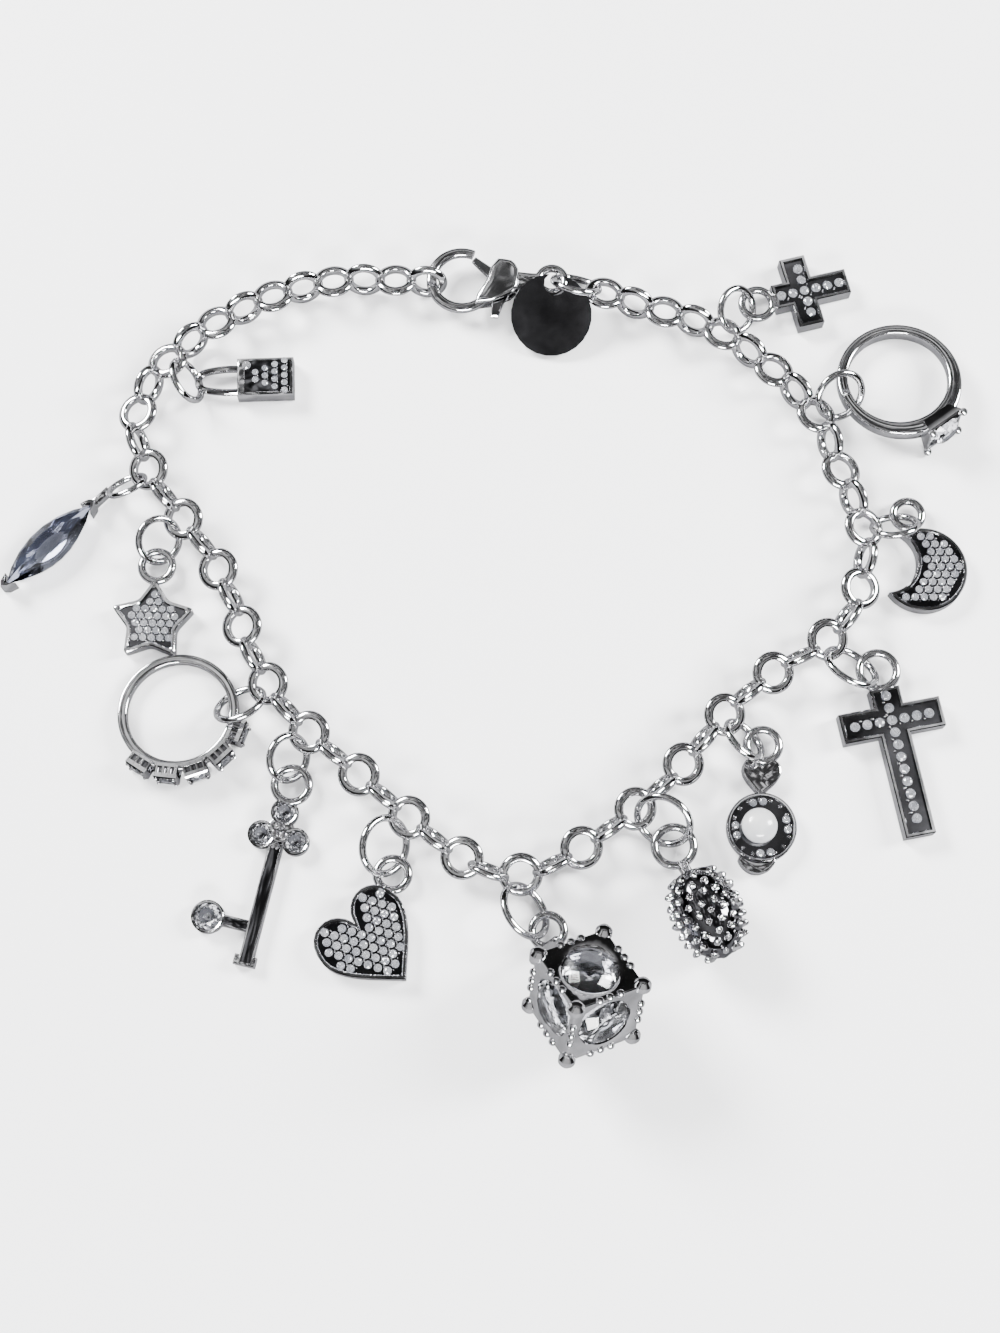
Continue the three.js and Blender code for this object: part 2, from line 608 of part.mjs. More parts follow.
function rowRing() {
  const half = ROW_RING_HEIGHT / 2;
  const side = ROW_STONE + 0.3;
  const pieces = [bandRing(ROW_RING_RADIUS, ROW_RING_BAND, ROW_RING_HEIGHT, 18).translate(0, 0, -half)];
  const tools = [];
  for (const angle of ROW_ANGLES) {
    pieces.push(onBand(box(-side, side, -side, side, -0.5, 1.1), ROW_RING_RADIUS, angle));
    tools.push(onBand(drum(ROW_STONE + STONE_GAP, 0.35, 2, 8), ROW_RING_RADIUS, angle));
  }
  return fuse(pieces, tools);
}

const rowStone = (angle) => fuse([onBand(cutStone(ROW_STONE, 0.4, 0.3).translate(0, 0, 0.8),
  ROW_RING_RADIUS, angle)]);

const KEY_CUPS = [[0, -2.75, KEY_STONE], [-1.65, -5.35, KEY_STONE], [1.75, -5.35, KEY_STONE],
  [-4.65, -14.3, KEY_ARM_STONE]];

function key() {
  const [width, length, thickness] = KEY_SHAFT;
  const shaft = box(-width / 2, width / 2, -6.5 - length, -6.0, 0, thickness);
  const foot = box(-width / 2 - 0.5, width / 2 + 0.3, -6.5 - length, -5.5 - length, 0, thickness);
  const arm = box(-3.4, 0, -14.85, -13.75, 0, thickness - 0.2);
  const heart = drum(1.3, 0, thickness, 10).translate(0.05, -4.5, 0);
  const beads = [[0, -4.2], [-0.4, -5.1], [0.5, -5.1], [0, -6.2]].map(([x, y]) => moved(ball(0.42), x, y, thickness));
  const cups = KEY_CUPS.map(([x, y, radius]) => drum(radius + 0.35, 0, thickness, 10).translate(x, y, 0));
  const bores = KEY_CUPS.map(([x, y, radius]) => drum(radius + STONE_GAP, thickness - 0.7, thickness + 1, 8)
    .translate(x, y, 0));
  return fuse([shaft, foot, arm, heart, ...beads, ...cups, bailRing(2.1)], bores);
}

const keyStone = ([x, y, radius]) => fuse([cutStone(radius, 0.45, 0.35).translate(x, y, KEY_SHAFT[2] - 0.15)]);

function heartShape(share) {
  const [width, height] = HEART_SIZE.map((size) => size * share);
  const shape = new THREE.Shape();
  shape.moveTo(0, -height * 0.55);
  shape.bezierCurveTo(width * 0.15, -height * 0.38, width * 0.5, -height * 0.12, width * 0.5, height * 0.14);
  shape.bezierCurveTo(width * 0.5, height * 0.52, width * 0.08, height * 0.55, 0, height * 0.24);
  shape.bezierCurveTo(-width * 0.08, height * 0.55, -width * 0.5, height * 0.52, -width * 0.5, height * 0.14);
  shape.bezierCurveTo(-width * 0.5, -height * 0.12, -width * 0.15, -height * 0.38, 0, -height * 0.55);
  return shape;
}

function heart() {
  const floor = HEART_THICKNESS - RIM_HEIGHT;
  const body = plate(heartShape(1), 0, HEART_THICKNESS);
  const well = plate(heartShape(1 - 2 * RIM_WIDTH / HEART_SIZE[0]), floor, HEART_THICKNESS + 1);
  const field = fuse([body], [well]);
  return fuse([turned(field, 43).translate(-2.1, -6.4, 0), bailRing()]);
}

const CUBE_FACES = [[0, 0], [90, 0], [180, 0], [270, 0], [0, 90], [0, -90]];
const cubeTurn = new THREE.Matrix4().makeRotationFromEuler(
  new THREE.Euler(radians(-30), radians(20), radians(21), 'ZYX'));

// The cube rests on its lowest corner balls, leaning as it lies.
function cubeMatrix() {
  const reach = CUBE_SIDE / 2;
  let low = 0;
  for (const x of [-reach, reach]) {
    for (const y of [-reach, reach]) {
      for (const z of [-reach, reach]) low = Math.min(low, vector(x, y, z).applyMatrix4(cubeTurn).z);
    }
  }
  return cubeTurn.clone().setPosition(...CUBE_MIDDLE, CUBE_BALL - low);
}

const faceTurn = (geometry, [about, tip]) => geometry.rotateX(radians(about)).rotateY(radians(tip));

function cube() {
  const half = CUBE_SIDE / 2;
  const body = box(-half, half, -half, half, -half, half);
  const sockets = CUBE_FACES.map((face) => faceTurn(
    drum(CUBE_STONE + STONE_GAP, half - CUBE_SOCKET_DEPTH, half + 1, 12), face));
  const balls = [];
  for (const x of [-half, half]) {
    for (const y of [-half, half]) {
      for (const z of [-half, half]) balls.push(ball(CUBE_BALL).translate(x, y, z));
    }
  }
  const frame = fuse([fuse([body], sockets), ...balls]).applyMatrix4(cubeMatrix());
  const [x, y] = PLACES.cube.at;
  const corner = vector(-half, half, half).applyMatrix4(cubeMatrix());
  const neck = tube([vector(x + 0.9, y - 1.0, CUBE_BAIL_LEVEL), vector(corner.x, corner.y, corner.z * 0.55),
    corner.clone().lerp(vector(...CUBE_MIDDLE, 4), 0.15)], 1.2);
  const bail = bailRing(BAIL, CUBE_BAIL_LEVEL).translate(x, y, 0);
  return fuse([frame, bail, neck]);
}

const cubeStone = (face) => fuse([faceTurn(cutStone(CUBE_STONE, 0.9, 0.4)
  .translate(0, 0, CUBE_SIDE / 2 - 0.3), face).applyMatrix4(cubeMatrix())]);

// A cone of knobs in rows, lying on its side.
function cone() {
  const profile = [[0, 0], [0.55, 0.02], [0.95, 0.3], [1, 0.55], [0.75, 0.85], [0, 1]]
    .map(([r, z]) => new THREE.Vector2(r * CONE_RADIUS, -z * CONE_LENGTH));
  const pieces = [new THREE.LatheGeometry(profile, 10)];
  const widths = [0.78, 0.97, 1, 0.95, 0.8, 0.5];
  for (let row = 0; row < CONE_ROWS; row += 1) {
    for (let k = 0; k < CONE_KNOBS; k += 1) {
      const turn = radians(360 / CONE_KNOBS * (k + (row % 2) / 2));
      const knob = new THREE.ConeGeometry(0.6, 1.1, 4).rotateX(Math.PI / 2)
        .translate(0, -CONE_LENGTH * (0.12 + 0.15 * row), CONE_RADIUS * widths[row] * 0.98).rotateY(turn);
      pieces.push(knob);
    }
  }
  const lie = CONE_RADIUS + 0.55;
  const loop = wireRing(2.3, BAIL_WIRE, 12).translate(0, 0, 1.3);
  const neck = tube([vector(0, -1.9, 1.3), vector(0, -2.9, 2.2), vector(0, -3.9, lie)], 1.2);
  const body = fuse(pieces).translate(0, -3.0, lie);
  return fuse([body, loop, neck]);
}

function pearlDrop() {
  const plateTop = 1.4;
  const heartPlate = plate(heartShape(0.4), 0, plateTop).translate(0, -3.1, 0);
  const frame = drum(PEARL_FRAME, 0, plateTop, 16).translate(0.3, -8.2, 0);
  const seat = drum(PEARL_RADIUS + STONE_GAP, 0.5, 3, 14).translate(0, -8.2, 0);
  const moonPlate = plate([...arcPoints(0, -10.9, 1.9, 200, 340, 6), ...arcPoints(0, -10.1, 1.9, 330, 210, 5)],
    0, plateTop);
  const pieces = [heartPlate, frame, moonPlate, bailRing(2.0)];
  return fuse(pieces, [seat]);
}

const pearl = () => fuse([new THREE.SphereGeometry(PEARL_RADIUS, 10, 6).rotateX(Math.PI / 2).scale(1, 1, 0.72)
  .translate(0, -8.2, 1.85)]);

function crossOutline({ top, foot, arm, bar }, inset) {
  const half = bar / 2 - inset;
  return [
    [-half, top - inset], [-half, half], [-arm + inset, half], [-arm + inset, -half], [-half, -half],
    [-half, -foot + inset], [half, -foot + inset], [half, -half], [arm - inset, -half],
    [arm - inset, half], [half, half], [half, top - inset],
  ].map(([x, y]) => new THREE.Vector2(x, y));
}

function cross(size, spacing, bailRadius) {
  const floor = size.thickness - RIM_HEIGHT;
  const body = plate(crossOutline(size, 0), 0, size.thickness);
  const well = plate(crossOutline(size, RIM_WIDTH), floor, size.thickness + 1);
  const stones = [];
  const down = Math.floor((size.top + size.foot - 1.4) / spacing);
  for (let k = 0; k <= down; k += 1) stones.push([0, size.top - 0.8 - k * spacing]);
  const across = Math.floor((size.arm - 0.8) / spacing);
  const row = stones.reduce((best, [, y]) => (Math.abs(y) < Math.abs(best) ? y : best), 9);
  for (let k = 1; k <= across; k += 1) stones.push([k * spacing, row], [-k * spacing, row]);
  const field = fuse([fuse([body], [well]), ...pave(stones, floor)]);
  return fuse([field.translate(0, -size.top - bailRadius + 0.25, 0), bailRing(bailRadius)]);
}

function moon() {
  const floor = MOON_THICKNESS - RIM_HEIGHT;
  const shift = [-3.9, 0.9];
  const outer = (inset, z0, z1) => drum(MOON_RADIUS - inset, z0, z1, 18);
  const bite = (inset) => drum(MOON_CUT + inset, -1, 3, 16).translate(...shift, 0);
  const body = fuse([outer(0, 0, MOON_THICKNESS)], [bite(0)]);
  const well = fuse([outer(RIM_WIDTH, floor, 3)], [bite(RIM_WIDTH)]);
  const field = fuse([body], [well]);
  return fuse([turned(field, -15).translate(-0.3, -MOON_RADIUS - 1.7, 0), bailRing(1.85)]);
}

function solitaireRing() {
  const half = SOLITAIRE_HEIGHT / 2;
  const band = bandRing(SOLITAIRE_RADIUS, SOLITAIRE_BAND, SOLITAIRE_HEIGHT).translate(0, 0, -half);
  const side = SOLITAIRE_STONE + 0.15;
  const prongs = [[-side, -side], [side, -side], [-side, side], [side, side]].map(
    ([x, y]) => onBand(moved(ball(SOLITAIRE_PRONG), x, y, 1.4), SOLITAIRE_RADIUS));
  const head = onBand(box(-side, side, -side, side, -0.4, 1.3), SOLITAIRE_RADIUS);
  const bore = onBand(drum(SOLITAIRE_STONE + STONE_GAP, 0.5, 3), SOLITAIRE_RADIUS);
  return fuse([band, head, ...prongs], [bore]);
}

const solitaireStone = () => fuse([onBand(cutStone(SOLITAIRE_STONE, 0.8, 0.5).translate(0, 0, 1.15),
  SOLITAIRE_RADIUS)]);

// Assembly

const silver = new THREE.MeshStandardMaterial({ color: 0xd9d9dc, roughness: 0.12, metalness: 1 });
const clear = new THREE.MeshStandardMaterial({ color: 0xe8edf2, roughness: 0.03, metalness: 0 });
const smoky = new THREE.MeshStandardMaterial({ color: 0x7c7f90, roughness: 0.03, metalness: 0 });
const pearly = new THREE.MeshStandardMaterial({ color: 0xf4f1ea, roughness: 0.3, metalness: 0 });

const bracelet = new THREE.Group();

function add(name, geometry, material = silver, matrix = null) {
  const mesh = new THREE.Mesh(geometry, material);
  mesh.name = name;
  if (matrix) mesh.applyMatrix4(matrix);
  bracelet.add(mesh);
}

const rowMatrix = fingerRingMatrix('row_ring', ROW_RING_LIFT, ROW_RING_CROWN, ROW_RING_TILT);
const solitaireMatrix = fingerRingMatrix(
  'solitaire_ring', SOLITAIRE_LIFT, SOLITAIRE_HEAD, SOLITAIRE_TILT);

add('chain_left', fuse(LINKS.filter((link) => link.half === 'left').map(placedLink)));
add('chain_right', fuse(LINKS.filter((link) => link.half === 'right').map(placedLink)));
add('clasp_body', onClasp(claspBody()));
add('clasp_lever', onClasp(claspLever()));
const endMatrix = endRingMatrix();
add('end_ring', fuse([wireRing(END_RING, RING_WIRE).applyMatrix4(endMatrix)]));
add('tag_disc', tagDisc(endMatrix));

add('padlock', padlock(), silver, charmMatrix('padlock'));
add('marquise_setting', marquiseSetting(marquiseBail()), silver, charmMatrix('marquise'));
add('marquise_stone', marquiseStone(), smoky, charmMatrix('marquise'));
add('star', star(), silver, charmMatrix('star'));
add('row_ring', rowRing(), silver, rowMatrix);
ROW_ANGLES.forEach((angle, k) => add(`row_stone_${k + 1}`, rowStone(angle), clear, rowMatrix));
add('key', key(), silver, charmMatrix('key'));
KEY_CUPS.forEach((cup, k) => add(`key_stone_${k + 1}`, keyStone(cup), clear, charmMatrix('key')));
add('heart', heart(), silver, charmMatrix('heart'));
add('cube', cube());
CUBE_FACES.forEach((face, k) => add(`cube_stone_${k + 1}`, cubeStone(face), clear));
add('cone', cone(), silver, charmMatrix('cone'));
add('pearl_drop', pearlDrop(), silver, charmMatrix('pearl_drop'));
add('pearl', pearl(), pearly, charmMatrix('pearl_drop'));
add('cross_large', cross(CROSS_LARGE, 1.25, 2.25), silver, charmMatrix('cross_large'));
add('moon', moon(), silver, charmMatrix('moon'));
add('solitaire_ring', solitaireRing(), silver, solitaireMatrix);
add('solitaire_stone', solitaireStone(), clear, solitaireMatrix);
add('cross_small', cross(CROSS_SMALL, 1.25, 2.0), silver, charmMatrix('cross_small'));

// Jump rings: the middle radius, bar, height and level of what each one holds.
const HOLDS = {
  padlock: [0.01, SHACKLE_WIRE, SHACKLE_WIRE, PADLOCK_SIZE[2] / 2],
  star: [BAIL - BAIL_WIRE / 2, BAIL_WIRE, BAIL_WIRE, BAIL_LEVEL],
  row_ring: [ROW_RING_RADIUS - ROW_RING_BAND / 2, ROW_RING_BAND, ROW_RING_HEIGHT, ROW_RING_LIFT],
  key: [2.1 - BAIL_WIRE / 2, BAIL_WIRE, BAIL_WIRE, BAIL_LEVEL],
  heart: [BAIL - BAIL_WIRE / 2, BAIL_WIRE, BAIL_WIRE, BAIL_LEVEL],
  cube: [BAIL - BAIL_WIRE / 2, BAIL_WIRE, BAIL_WIRE, CUBE_BAIL_LEVEL],
  cone: [2.3 - BAIL_WIRE / 2, BAIL_WIRE, BAIL_WIRE, 1.3],
  pearl_drop: [2.0 - BAIL_WIRE / 2, BAIL_WIRE, BAIL_WIRE, BAIL_LEVEL],
  cross_large: [2.25 - BAIL_WIRE / 2, BAIL_WIRE, BAIL_WIRE, BAIL_LEVEL],
  moon: [1.85 - BAIL_WIRE / 2, BAIL_WIRE, BAIL_WIRE, BAIL_LEVEL],
  solitaire_ring: [SOLITAIRE_RADIUS - SOLITAIRE_BAND / 2, SOLITAIRE_BAND, SOLITAIRE_HEIGHT, SOLITAIRE_LIFT],
  cross_small: [2.0 - BAIL_WIRE / 2, BAIL_WIRE, BAIL_WIRE, BAIL_LEVEL],
};
for (const [name, hold] of Object.entries(HOLDS)) add(`jump_ring_${name}`, fuse([jumpRing(name, ...hold)]));

// The part's origin is the middle of its footprint on the table.
bracelet.updateMatrixWorld(true);
const bounds = new THREE.Box3().setFromObject(bracelet, true);
const middle = bounds.getCenter(vector(0, 0));
bracelet.position.set(-middle.x, -middle.y, -bounds.min.z);

export default bracelet;
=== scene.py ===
# %% [markdown]
# A silver charm bracelet lies in an open loop on a pale table, seen from almost straight above.
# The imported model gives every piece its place. Millimetres are easiest to think in at this size,
# so the shapes are built in millimetres and turned into metres when their mesh is made. The
# lever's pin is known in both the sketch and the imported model, and so joins the two.

# %% Load the frame
import json
import math
import random
import bmesh
import bpy
from mathutils import Matrix, Vector


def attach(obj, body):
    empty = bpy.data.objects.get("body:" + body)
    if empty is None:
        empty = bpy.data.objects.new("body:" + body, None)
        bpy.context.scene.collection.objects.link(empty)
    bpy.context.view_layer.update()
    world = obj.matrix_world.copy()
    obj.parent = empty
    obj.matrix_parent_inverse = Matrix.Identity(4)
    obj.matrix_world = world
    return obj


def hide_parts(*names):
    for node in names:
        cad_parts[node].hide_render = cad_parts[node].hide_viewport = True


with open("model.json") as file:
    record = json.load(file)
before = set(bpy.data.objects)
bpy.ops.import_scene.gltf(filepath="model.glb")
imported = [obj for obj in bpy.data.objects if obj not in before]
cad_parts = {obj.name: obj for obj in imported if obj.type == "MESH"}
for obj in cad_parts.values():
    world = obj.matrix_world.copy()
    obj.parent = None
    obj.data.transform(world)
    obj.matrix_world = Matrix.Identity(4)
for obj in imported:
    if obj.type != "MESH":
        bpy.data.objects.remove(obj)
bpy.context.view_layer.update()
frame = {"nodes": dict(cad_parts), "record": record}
random.seed(7)

MM = 0.001
CLASP_MIDDLE, LEVER_PIN = (0.0, 41.3), (0.3, -0.2)
pin_x, pin_y, _ = frame["record"]["behaviour"]["joints"][0]["pos_m"]
ORIGIN = Vector((pin_x / MM - CLASP_MIDDLE[0] - LEVER_PIN[0],
                 pin_y / MM - CLASP_MIDDLE[1] - LEVER_PIN[1], 0.0))
print("nodes", len(frame["nodes"]), "origin in mm", [round(v, 3) for v in ORIGIN])

# %% [markdown]
# The camera stands over the table and leans a little, as a person looks down at jewellery.
# It is made first, because it decides how fine each shape has to be.

# %% Camera
CAMERA_HEIGHT = 0.2
CAMERA_LEAN = math.radians(15)
LENS = 54.0


def put(name, data, place=(0.0, 0.0, 0.0)):
    made = bpy.data.objects.new(name, data)
    made.location = place
    bpy.context.scene.collection.objects.link(made)
    return made


def aim(made, target):
    made.rotation_euler = (target - made.location).to_track_quat("-Z", "Y").to_euler()


lens = bpy.data.cameras.new("camera")
lens.lens = LENS
lean = Vector((0.0, -math.sin(CAMERA_LEAN), math.cos(CAMERA_LEAN)))
camera = put("camera", lens, ORIGIN * MM + CAMERA_HEIGHT * lean)
aim(camera, ORIGIN * MM)
bpy.context.scene.camera = camera
print("camera at", [round(v, 3) for v in camera.location])

# %% [markdown]
# Effects that change over a surface are kept in named node groups, tuned once and placed in every
# material that needs them. Both groups here are made of soft noise, stretched between two values.

# %% Helpers for node groups
def new_group(name, inputs, outputs):
    tree = bpy.data.node_groups.new(name, "ShaderNodeTree")
    for title, kind, value in inputs:
        socket = tree.interface.new_socket(title, in_out="INPUT", socket_type=kind)
        socket.default_value = value
    for title, kind in outputs:
        tree.interface.new_socket(title, in_out="OUTPUT", socket_type=kind)
    return tree, tree.nodes.new("NodeGroupInput"), tree.nodes.new("NodeGroupOutput")


def join(tree, source, target):
    tree.links.new(source, target)


def dial(node, **values):
    """Sets sockets by their names, with an underscore for a space."""
    for title, value in values.items():
        node.inputs[title.replace("_", " ")].default_value = value
    return node


def noise(tree, scale, detail=3.0):
    place = tree.nodes.new("ShaderNodeTexCoord")
    node = dial(tree.nodes.new("ShaderNodeTexNoise"), Scale=scale, Detail=detail)
    join(tree, place.outputs["Object"], node.inputs["Vector"])
    return node


def spread(tree, source, low, high):
    """Noise stays mostly between 0.3 and 0.7. This stretches it from low to high."""
    node = dial(tree.nodes.new("ShaderNodeMapRange"), From_Min=0.3, From_Max=0.7,
                To_Min=low, To_Max=high)
    join(tree, source, node.inputs["Value"])
    return node


def blend(tree, share, first, second):
    mix = tree.nodes.new("ShaderNodeMix")
    mix.data_type = "RGBA"
    join(tree, share, mix.inputs["Factor"])
    join(tree, first, mix.inputs["A"])
    join(tree, second, mix.inputs["B"])
    return mix


print("helpers for groups, noise and blends")

# %% [markdown]
# Polished silver has hardly a colour of its own: its look is what it reflects. Handling leaves
# fine wipe marks that vary the gloss, a grey film in patches, and a very low ripple.

# %% Polish
def make_polish_group():
    """Roughness, colour and normal of handled, polished metal."""
    tree, given, out = new_group(
        "handled_polish",
        [("Light", "NodeSocketColor", (0.93, 0.93, 0.94, 1.0)),
         ("Film", "NodeSocketColor", (0.70, 0.71, 0.74, 1.0)),
         ("Ripple", "NodeSocketFloat", 0.05)],
        [("Color", "NodeSocketColor"), ("Roughness", "NodeSocketFloat"),
         ("Normal", "NodeSocketVector")])
    wipe = noise(tree, 420.0)
    gloss = spread(tree, wipe.outputs["Fac"], 0.04, 0.13)
    join(tree, gloss.outputs["Result"], out.inputs["Roughness"])
    film = noise(tree, 900.0, 2.0)
    share = spread(tree, film.outputs["Fac"], 0.0, 0.45)
    mix = blend(tree, share.outputs["Result"], given.outputs["Light"], given.outputs["Film"])
    join(tree, mix.outputs["Result"], out.inputs["Color"])
    ripple = noise(tree, 650.0, 1.0)
    bump = dial(tree.nodes.new("ShaderNodeBump"), Distance=0.0002)
    join(tree, given.outputs["Ripple"], bump.inputs["Strength"])
    join(tree, ripple.outputs["Fac"], bump.inputs["Height"])
    join(tree, bump.outputs["Normal"], out.inputs["Normal"])
    return tree


POLISH = make_polish_group()
print("group", POLISH.name, "with", len(POLISH.nodes), "nodes")

# %% [markdown]
# Glass, pearl and the table aren't even either. One group drifts between two tints, and the
# gloss drifts with it.

# %% Mottle
def make_mottle_group():
    """A colour that drifts between two tints, for stones, pearl and the table."""
    tree, given, out = new_group(
        "mottle",
        [("First", "NodeSocketColor", (0.9, 0.9, 0.9, 1.0)),
         ("Second", "NodeSocketColor", (0.8, 0.8, 0.8, 1.0)),
         ("Scale", "NodeSocketFloat", 300.0)],
        [("Color", "NodeSocketColor"), ("Roughness", "NodeSocketFloat")])
    clouds = noise(tree, 300.0, 4.0)
    join(tree, given.outputs["Scale"], clouds.inputs["Scale"])
    share = spread(tree, clouds.outputs["Fac"], 0.0, 1.0)
    mix = blend(tree, share.outputs["Result"], given.outputs["First"], given.outputs["Second"])
    join(tree, mix.outputs["Result"], out.inputs["Color"])
    gloss = spread(tree, clouds.outputs["Fac"], 0.02, 0.10)
    join(tree, gloss.outputs["Result"], out.inputs["Roughness"])
    return tree


MOTTLE = make_mottle_group()
print("group", MOTTLE.name, "with", len(MOTTLE.nodes), "nodes")

# %% [markdown]
# Six materials cover the bracelet. Bright silver is for what hands polish. Dark silver is for the
# tag, and as painted shade for the floors between stones, the insides of settings and the cone's
# core, and as a painted dark reflection on the key. Large stones are clear or smoky glass, and the
# small set ones bend light more, as they do in a bright cup. The pearl is opaque with a soft coat.

# %% Materials
def shader_of(name):
    material = bpy.data.materials.new(name)
    material.use_nodes = True
    return material, material.node_tree, material.node_tree.nodes["Principled BSDF"]


def use_group(tree, group, **values):
    node = tree.nodes.new("ShaderNodeGroup")
    node.node_tree = group
    return dial(node, **values)


def silver_material(name, light, film, ripple):
    material, tree, shader = shader_of(name)
    dial(shader, Metallic=1.0)
    polish = use_group(tree, POLISH, Light=light, Film=film, Ripple=ripple)
    join(tree, polish.outputs["Color"], shader.inputs["Base Color"])
    join(tree, polish.outputs["Roughness"], shader.inputs["Roughness"])
    join(tree, polish.outputs["Normal"], shader.inputs["Normal"])
    return material


def mottled_material(name, first, second, scale, **values):
    material, tree, shader = shader_of(name)
    mottle = use_group(tree, MOTTLE, First=first, Second=second, Scale=scale)
    join(tree, mottle.outputs["Color"], shader.inputs["Base Color"])
    if "Roughness" not in values:
        join(tree, mottle.outputs["Roughness"], shader.inputs["Roughness"])
    dial(shader, **values)
    return material


SILVER = silver_material("silver", (0.88, 0.88, 0.89, 1), (0.46, 0.46, 0.49, 1), 0.05)
DARK_SILVER = silver_material("dark_silver", (0.17, 0.17, 0.18, 1), (0.07, 0.07, 0.075, 1), 0.02)
CLEAR = mottled_material("clear_glass", (0.88, 0.89, 0.92, 1), (0.62, 0.63, 0.67, 1), 500.0,
                         Transmission_Weight=1.0, IOR=1.65)
PAVE = mottled_material("pave_glass", (0.92, 0.93, 0.96, 1), (0.45, 0.47, 0.52, 1), 1100.0,
                        Transmission_Weight=0.82, IOR=2.0)
SMOKY = mottled_material("smoky_glass", (0.42, 0.45, 0.55, 1), (0.24, 0.25, 0.32, 1), 200.0,
                         Transmission_Weight=1.0, IOR=1.6)
PEARL = mottled_material("pearl", (0.56, 0.56, 0.55, 1), (0.36, 0.37, 0.40, 1), 350.0,
                         Roughness=0.24, Coat_Weight=0.8, Coat_Roughness=0.10)
TABLE = mottled_material("pale_table", (0.93, 0.93, 0.935, 1), (0.90, 0.90, 0.91, 1), 9.0,
                         Roughness=0.42)
print("materials", [m.name for m in (SILVER, DARK_SILVER, CLEAR, PAVE, SMOKY, PEARL, TABLE)])

# %% [markdown]
# The table is a plain pale sheet. A dark card hangs overhead where only reflections see it:
# silver photographs as silver because half of what it mirrors is dark. For the same reason the
# metal mirrors a greyer table than the one that the camera sees.

# %% Table and card
TABLE_SIZE = 1.6


def sheet_at(name, centre, width, depth, material):
    mesh = bpy.data.meshes.new(name)
    w, d = width / 2, depth / 2
    mesh.from_pydata([(-w, -d, 0), (w, -d, 0), (w, d, 0), (-w, d, 0)], [], [(0, 1, 2, 3)])
    mesh.materials.append(material)
    sheet = put(name, mesh, centre)
    return sheet


def ramp_of(tree, source, stops):
    node = tree.nodes.new("ShaderNodeValToRGB")
    ramp = node.color_ramp
    while len(ramp.elements) < len(stops):
        ramp.elements.new(1.0)
    for element, (place, value) in zip(ramp.elements, stops):
        element.position = place
        element.color = (value, value, value * 1.01, 1)
    join(tree, source, node.inputs["Fac"])
    return node


def axis_of(tree, kind, axis):
    place = tree.nodes.new("ShaderNodeTexCoord")
    parts = tree.nodes.new("ShaderNodeSeparateXYZ")
    join(tree, place.outputs[kind], parts.inputs["Vector"])
    return parts.outputs[axis]


def overhead_material():
    """What hangs over the table: dark to the right, with pale gaps to the left."""
    material, tree, shader = shader_of("overhead")
    dial(shader, Base_Color=(0, 0, 0, 1), Specular_IOR_Level=0.0, Emission_Strength=1.1)
    clouds = dial(noise(tree, 30.0, 1.0), Distortion=0.8)
    lean = tree.nodes.new("ShaderNodeMath")
    lean.operation = "MULTIPLY_ADD"
    lean.inputs[1].default_value = -0.4
    join(tree, axis_of(tree, "Object", "X"), lean.inputs[0])
    join(tree, clouds.outputs["Fac"], lean.inputs[2])
    ramp = ramp_of(tree, lean.outputs["Value"], [(0.48, 0.04), (0.58, 0.22), (0.66, 1.0)])
    join(tree, ramp.outputs["Color"], shader.inputs["Emission Color"])
    return material


table = sheet_at("table", (0.0, 0.0, 0.0), TABLE_SIZE, TABLE_SIZE, TABLE)
card = sheet_at("card", (0.0, 0.05, 0.21), 0.42, 0.34, overhead_material())
shade, _, shade_shader = shader_of("table_in_reflections")
dial(shade_shader, Base_Color=(0.12, 0.12, 0.125, 1), Roughness=0.9)
mirrored = sheet_at("mirrored_table", (0.0, 0.0, 0.00002), TABLE_SIZE, TABLE_SIZE, shade)
table.visible_glossy = False
for unseen in (card, mirrored):
    unseen.visible_camera = unseen.visible_diffuse = unseen.visible_shadow = False
    unseen.visible_transmission = False
print("stage", [sheet.name for sheet in (table, card, mirrored)])

# %% [markdown]
# Three soft lights aim at the middle of the table. The studio's walls are dark below and pale
# above, which gives each wire a dark and a bright edge. The camera itself sees them pale, and in
# reflections they are dimmer, or the silver would turn white.

# %% Lights and walls
def soft_light(name, place, size, energy):
    data = bpy.data.lights.new(name, "AREA")
    data.shape = "RECTANGLE"
    data.size, data.size_y = size
    data.energy = energy
    aim(put(name, data, place), Vector())


soft_light("window", (-0.40, 0.34, 0.36), (0.26, 0.20), 15.0)
soft_light("room", (0.46, 0.12, 0.30), (0.16, 0.26), 9.0)
soft_light("front", (0.05, -0.50, 0.30), (0.34, 0.12), 8.0)

world = bpy.data.worlds.new("studio")
world.use_nodes = True
sky = world.node_tree
walls = ramp_of(sky, axis_of(sky, "Generated", "Z"),
                [(0.0, 0.01), (0.44, 0.02), (0.56, 0.30), (0.78, 0.90)])
rays = sky.nodes.new("ShaderNodeLightPath")
seen = sky.nodes.new("ShaderNodeMix")
seen.data_type = "RGBA"
dial(seen, B=(0.86, 0.86, 0.87, 1))
join(sky, walls.outputs["Color"], seen.inputs["A"])
join(sky, rays.outputs["Is Camera Ray"], seen.inputs["Factor"])
join(sky, seen.outputs["Result"], sky.nodes["Background"].inputs["Color"])
dimmer = sky.nodes.new("ShaderNodeMath")
dimmer.operation = "MULTIPLY_ADD"
dimmer.inputs[1].default_value = -0.5
dimmer.inputs[2].default_value = 1.15
join(sky, rays.outputs["Is Glossy Ray"], dimmer.inputs[0])
join(sky, dimmer.outputs["Value"], sky.nodes["Background"].inputs["Strength"])
bpy.context.scene.world = world
print("lights", len(bpy.data.lights), "world", world.name)

# %% [markdown]
# Small shapes come from a few tools, as at a bench. Each tool returns points and faces, and a Form
# makes them one piece. Metal is smooth up to an angle, and cut stones keep every facet flat.

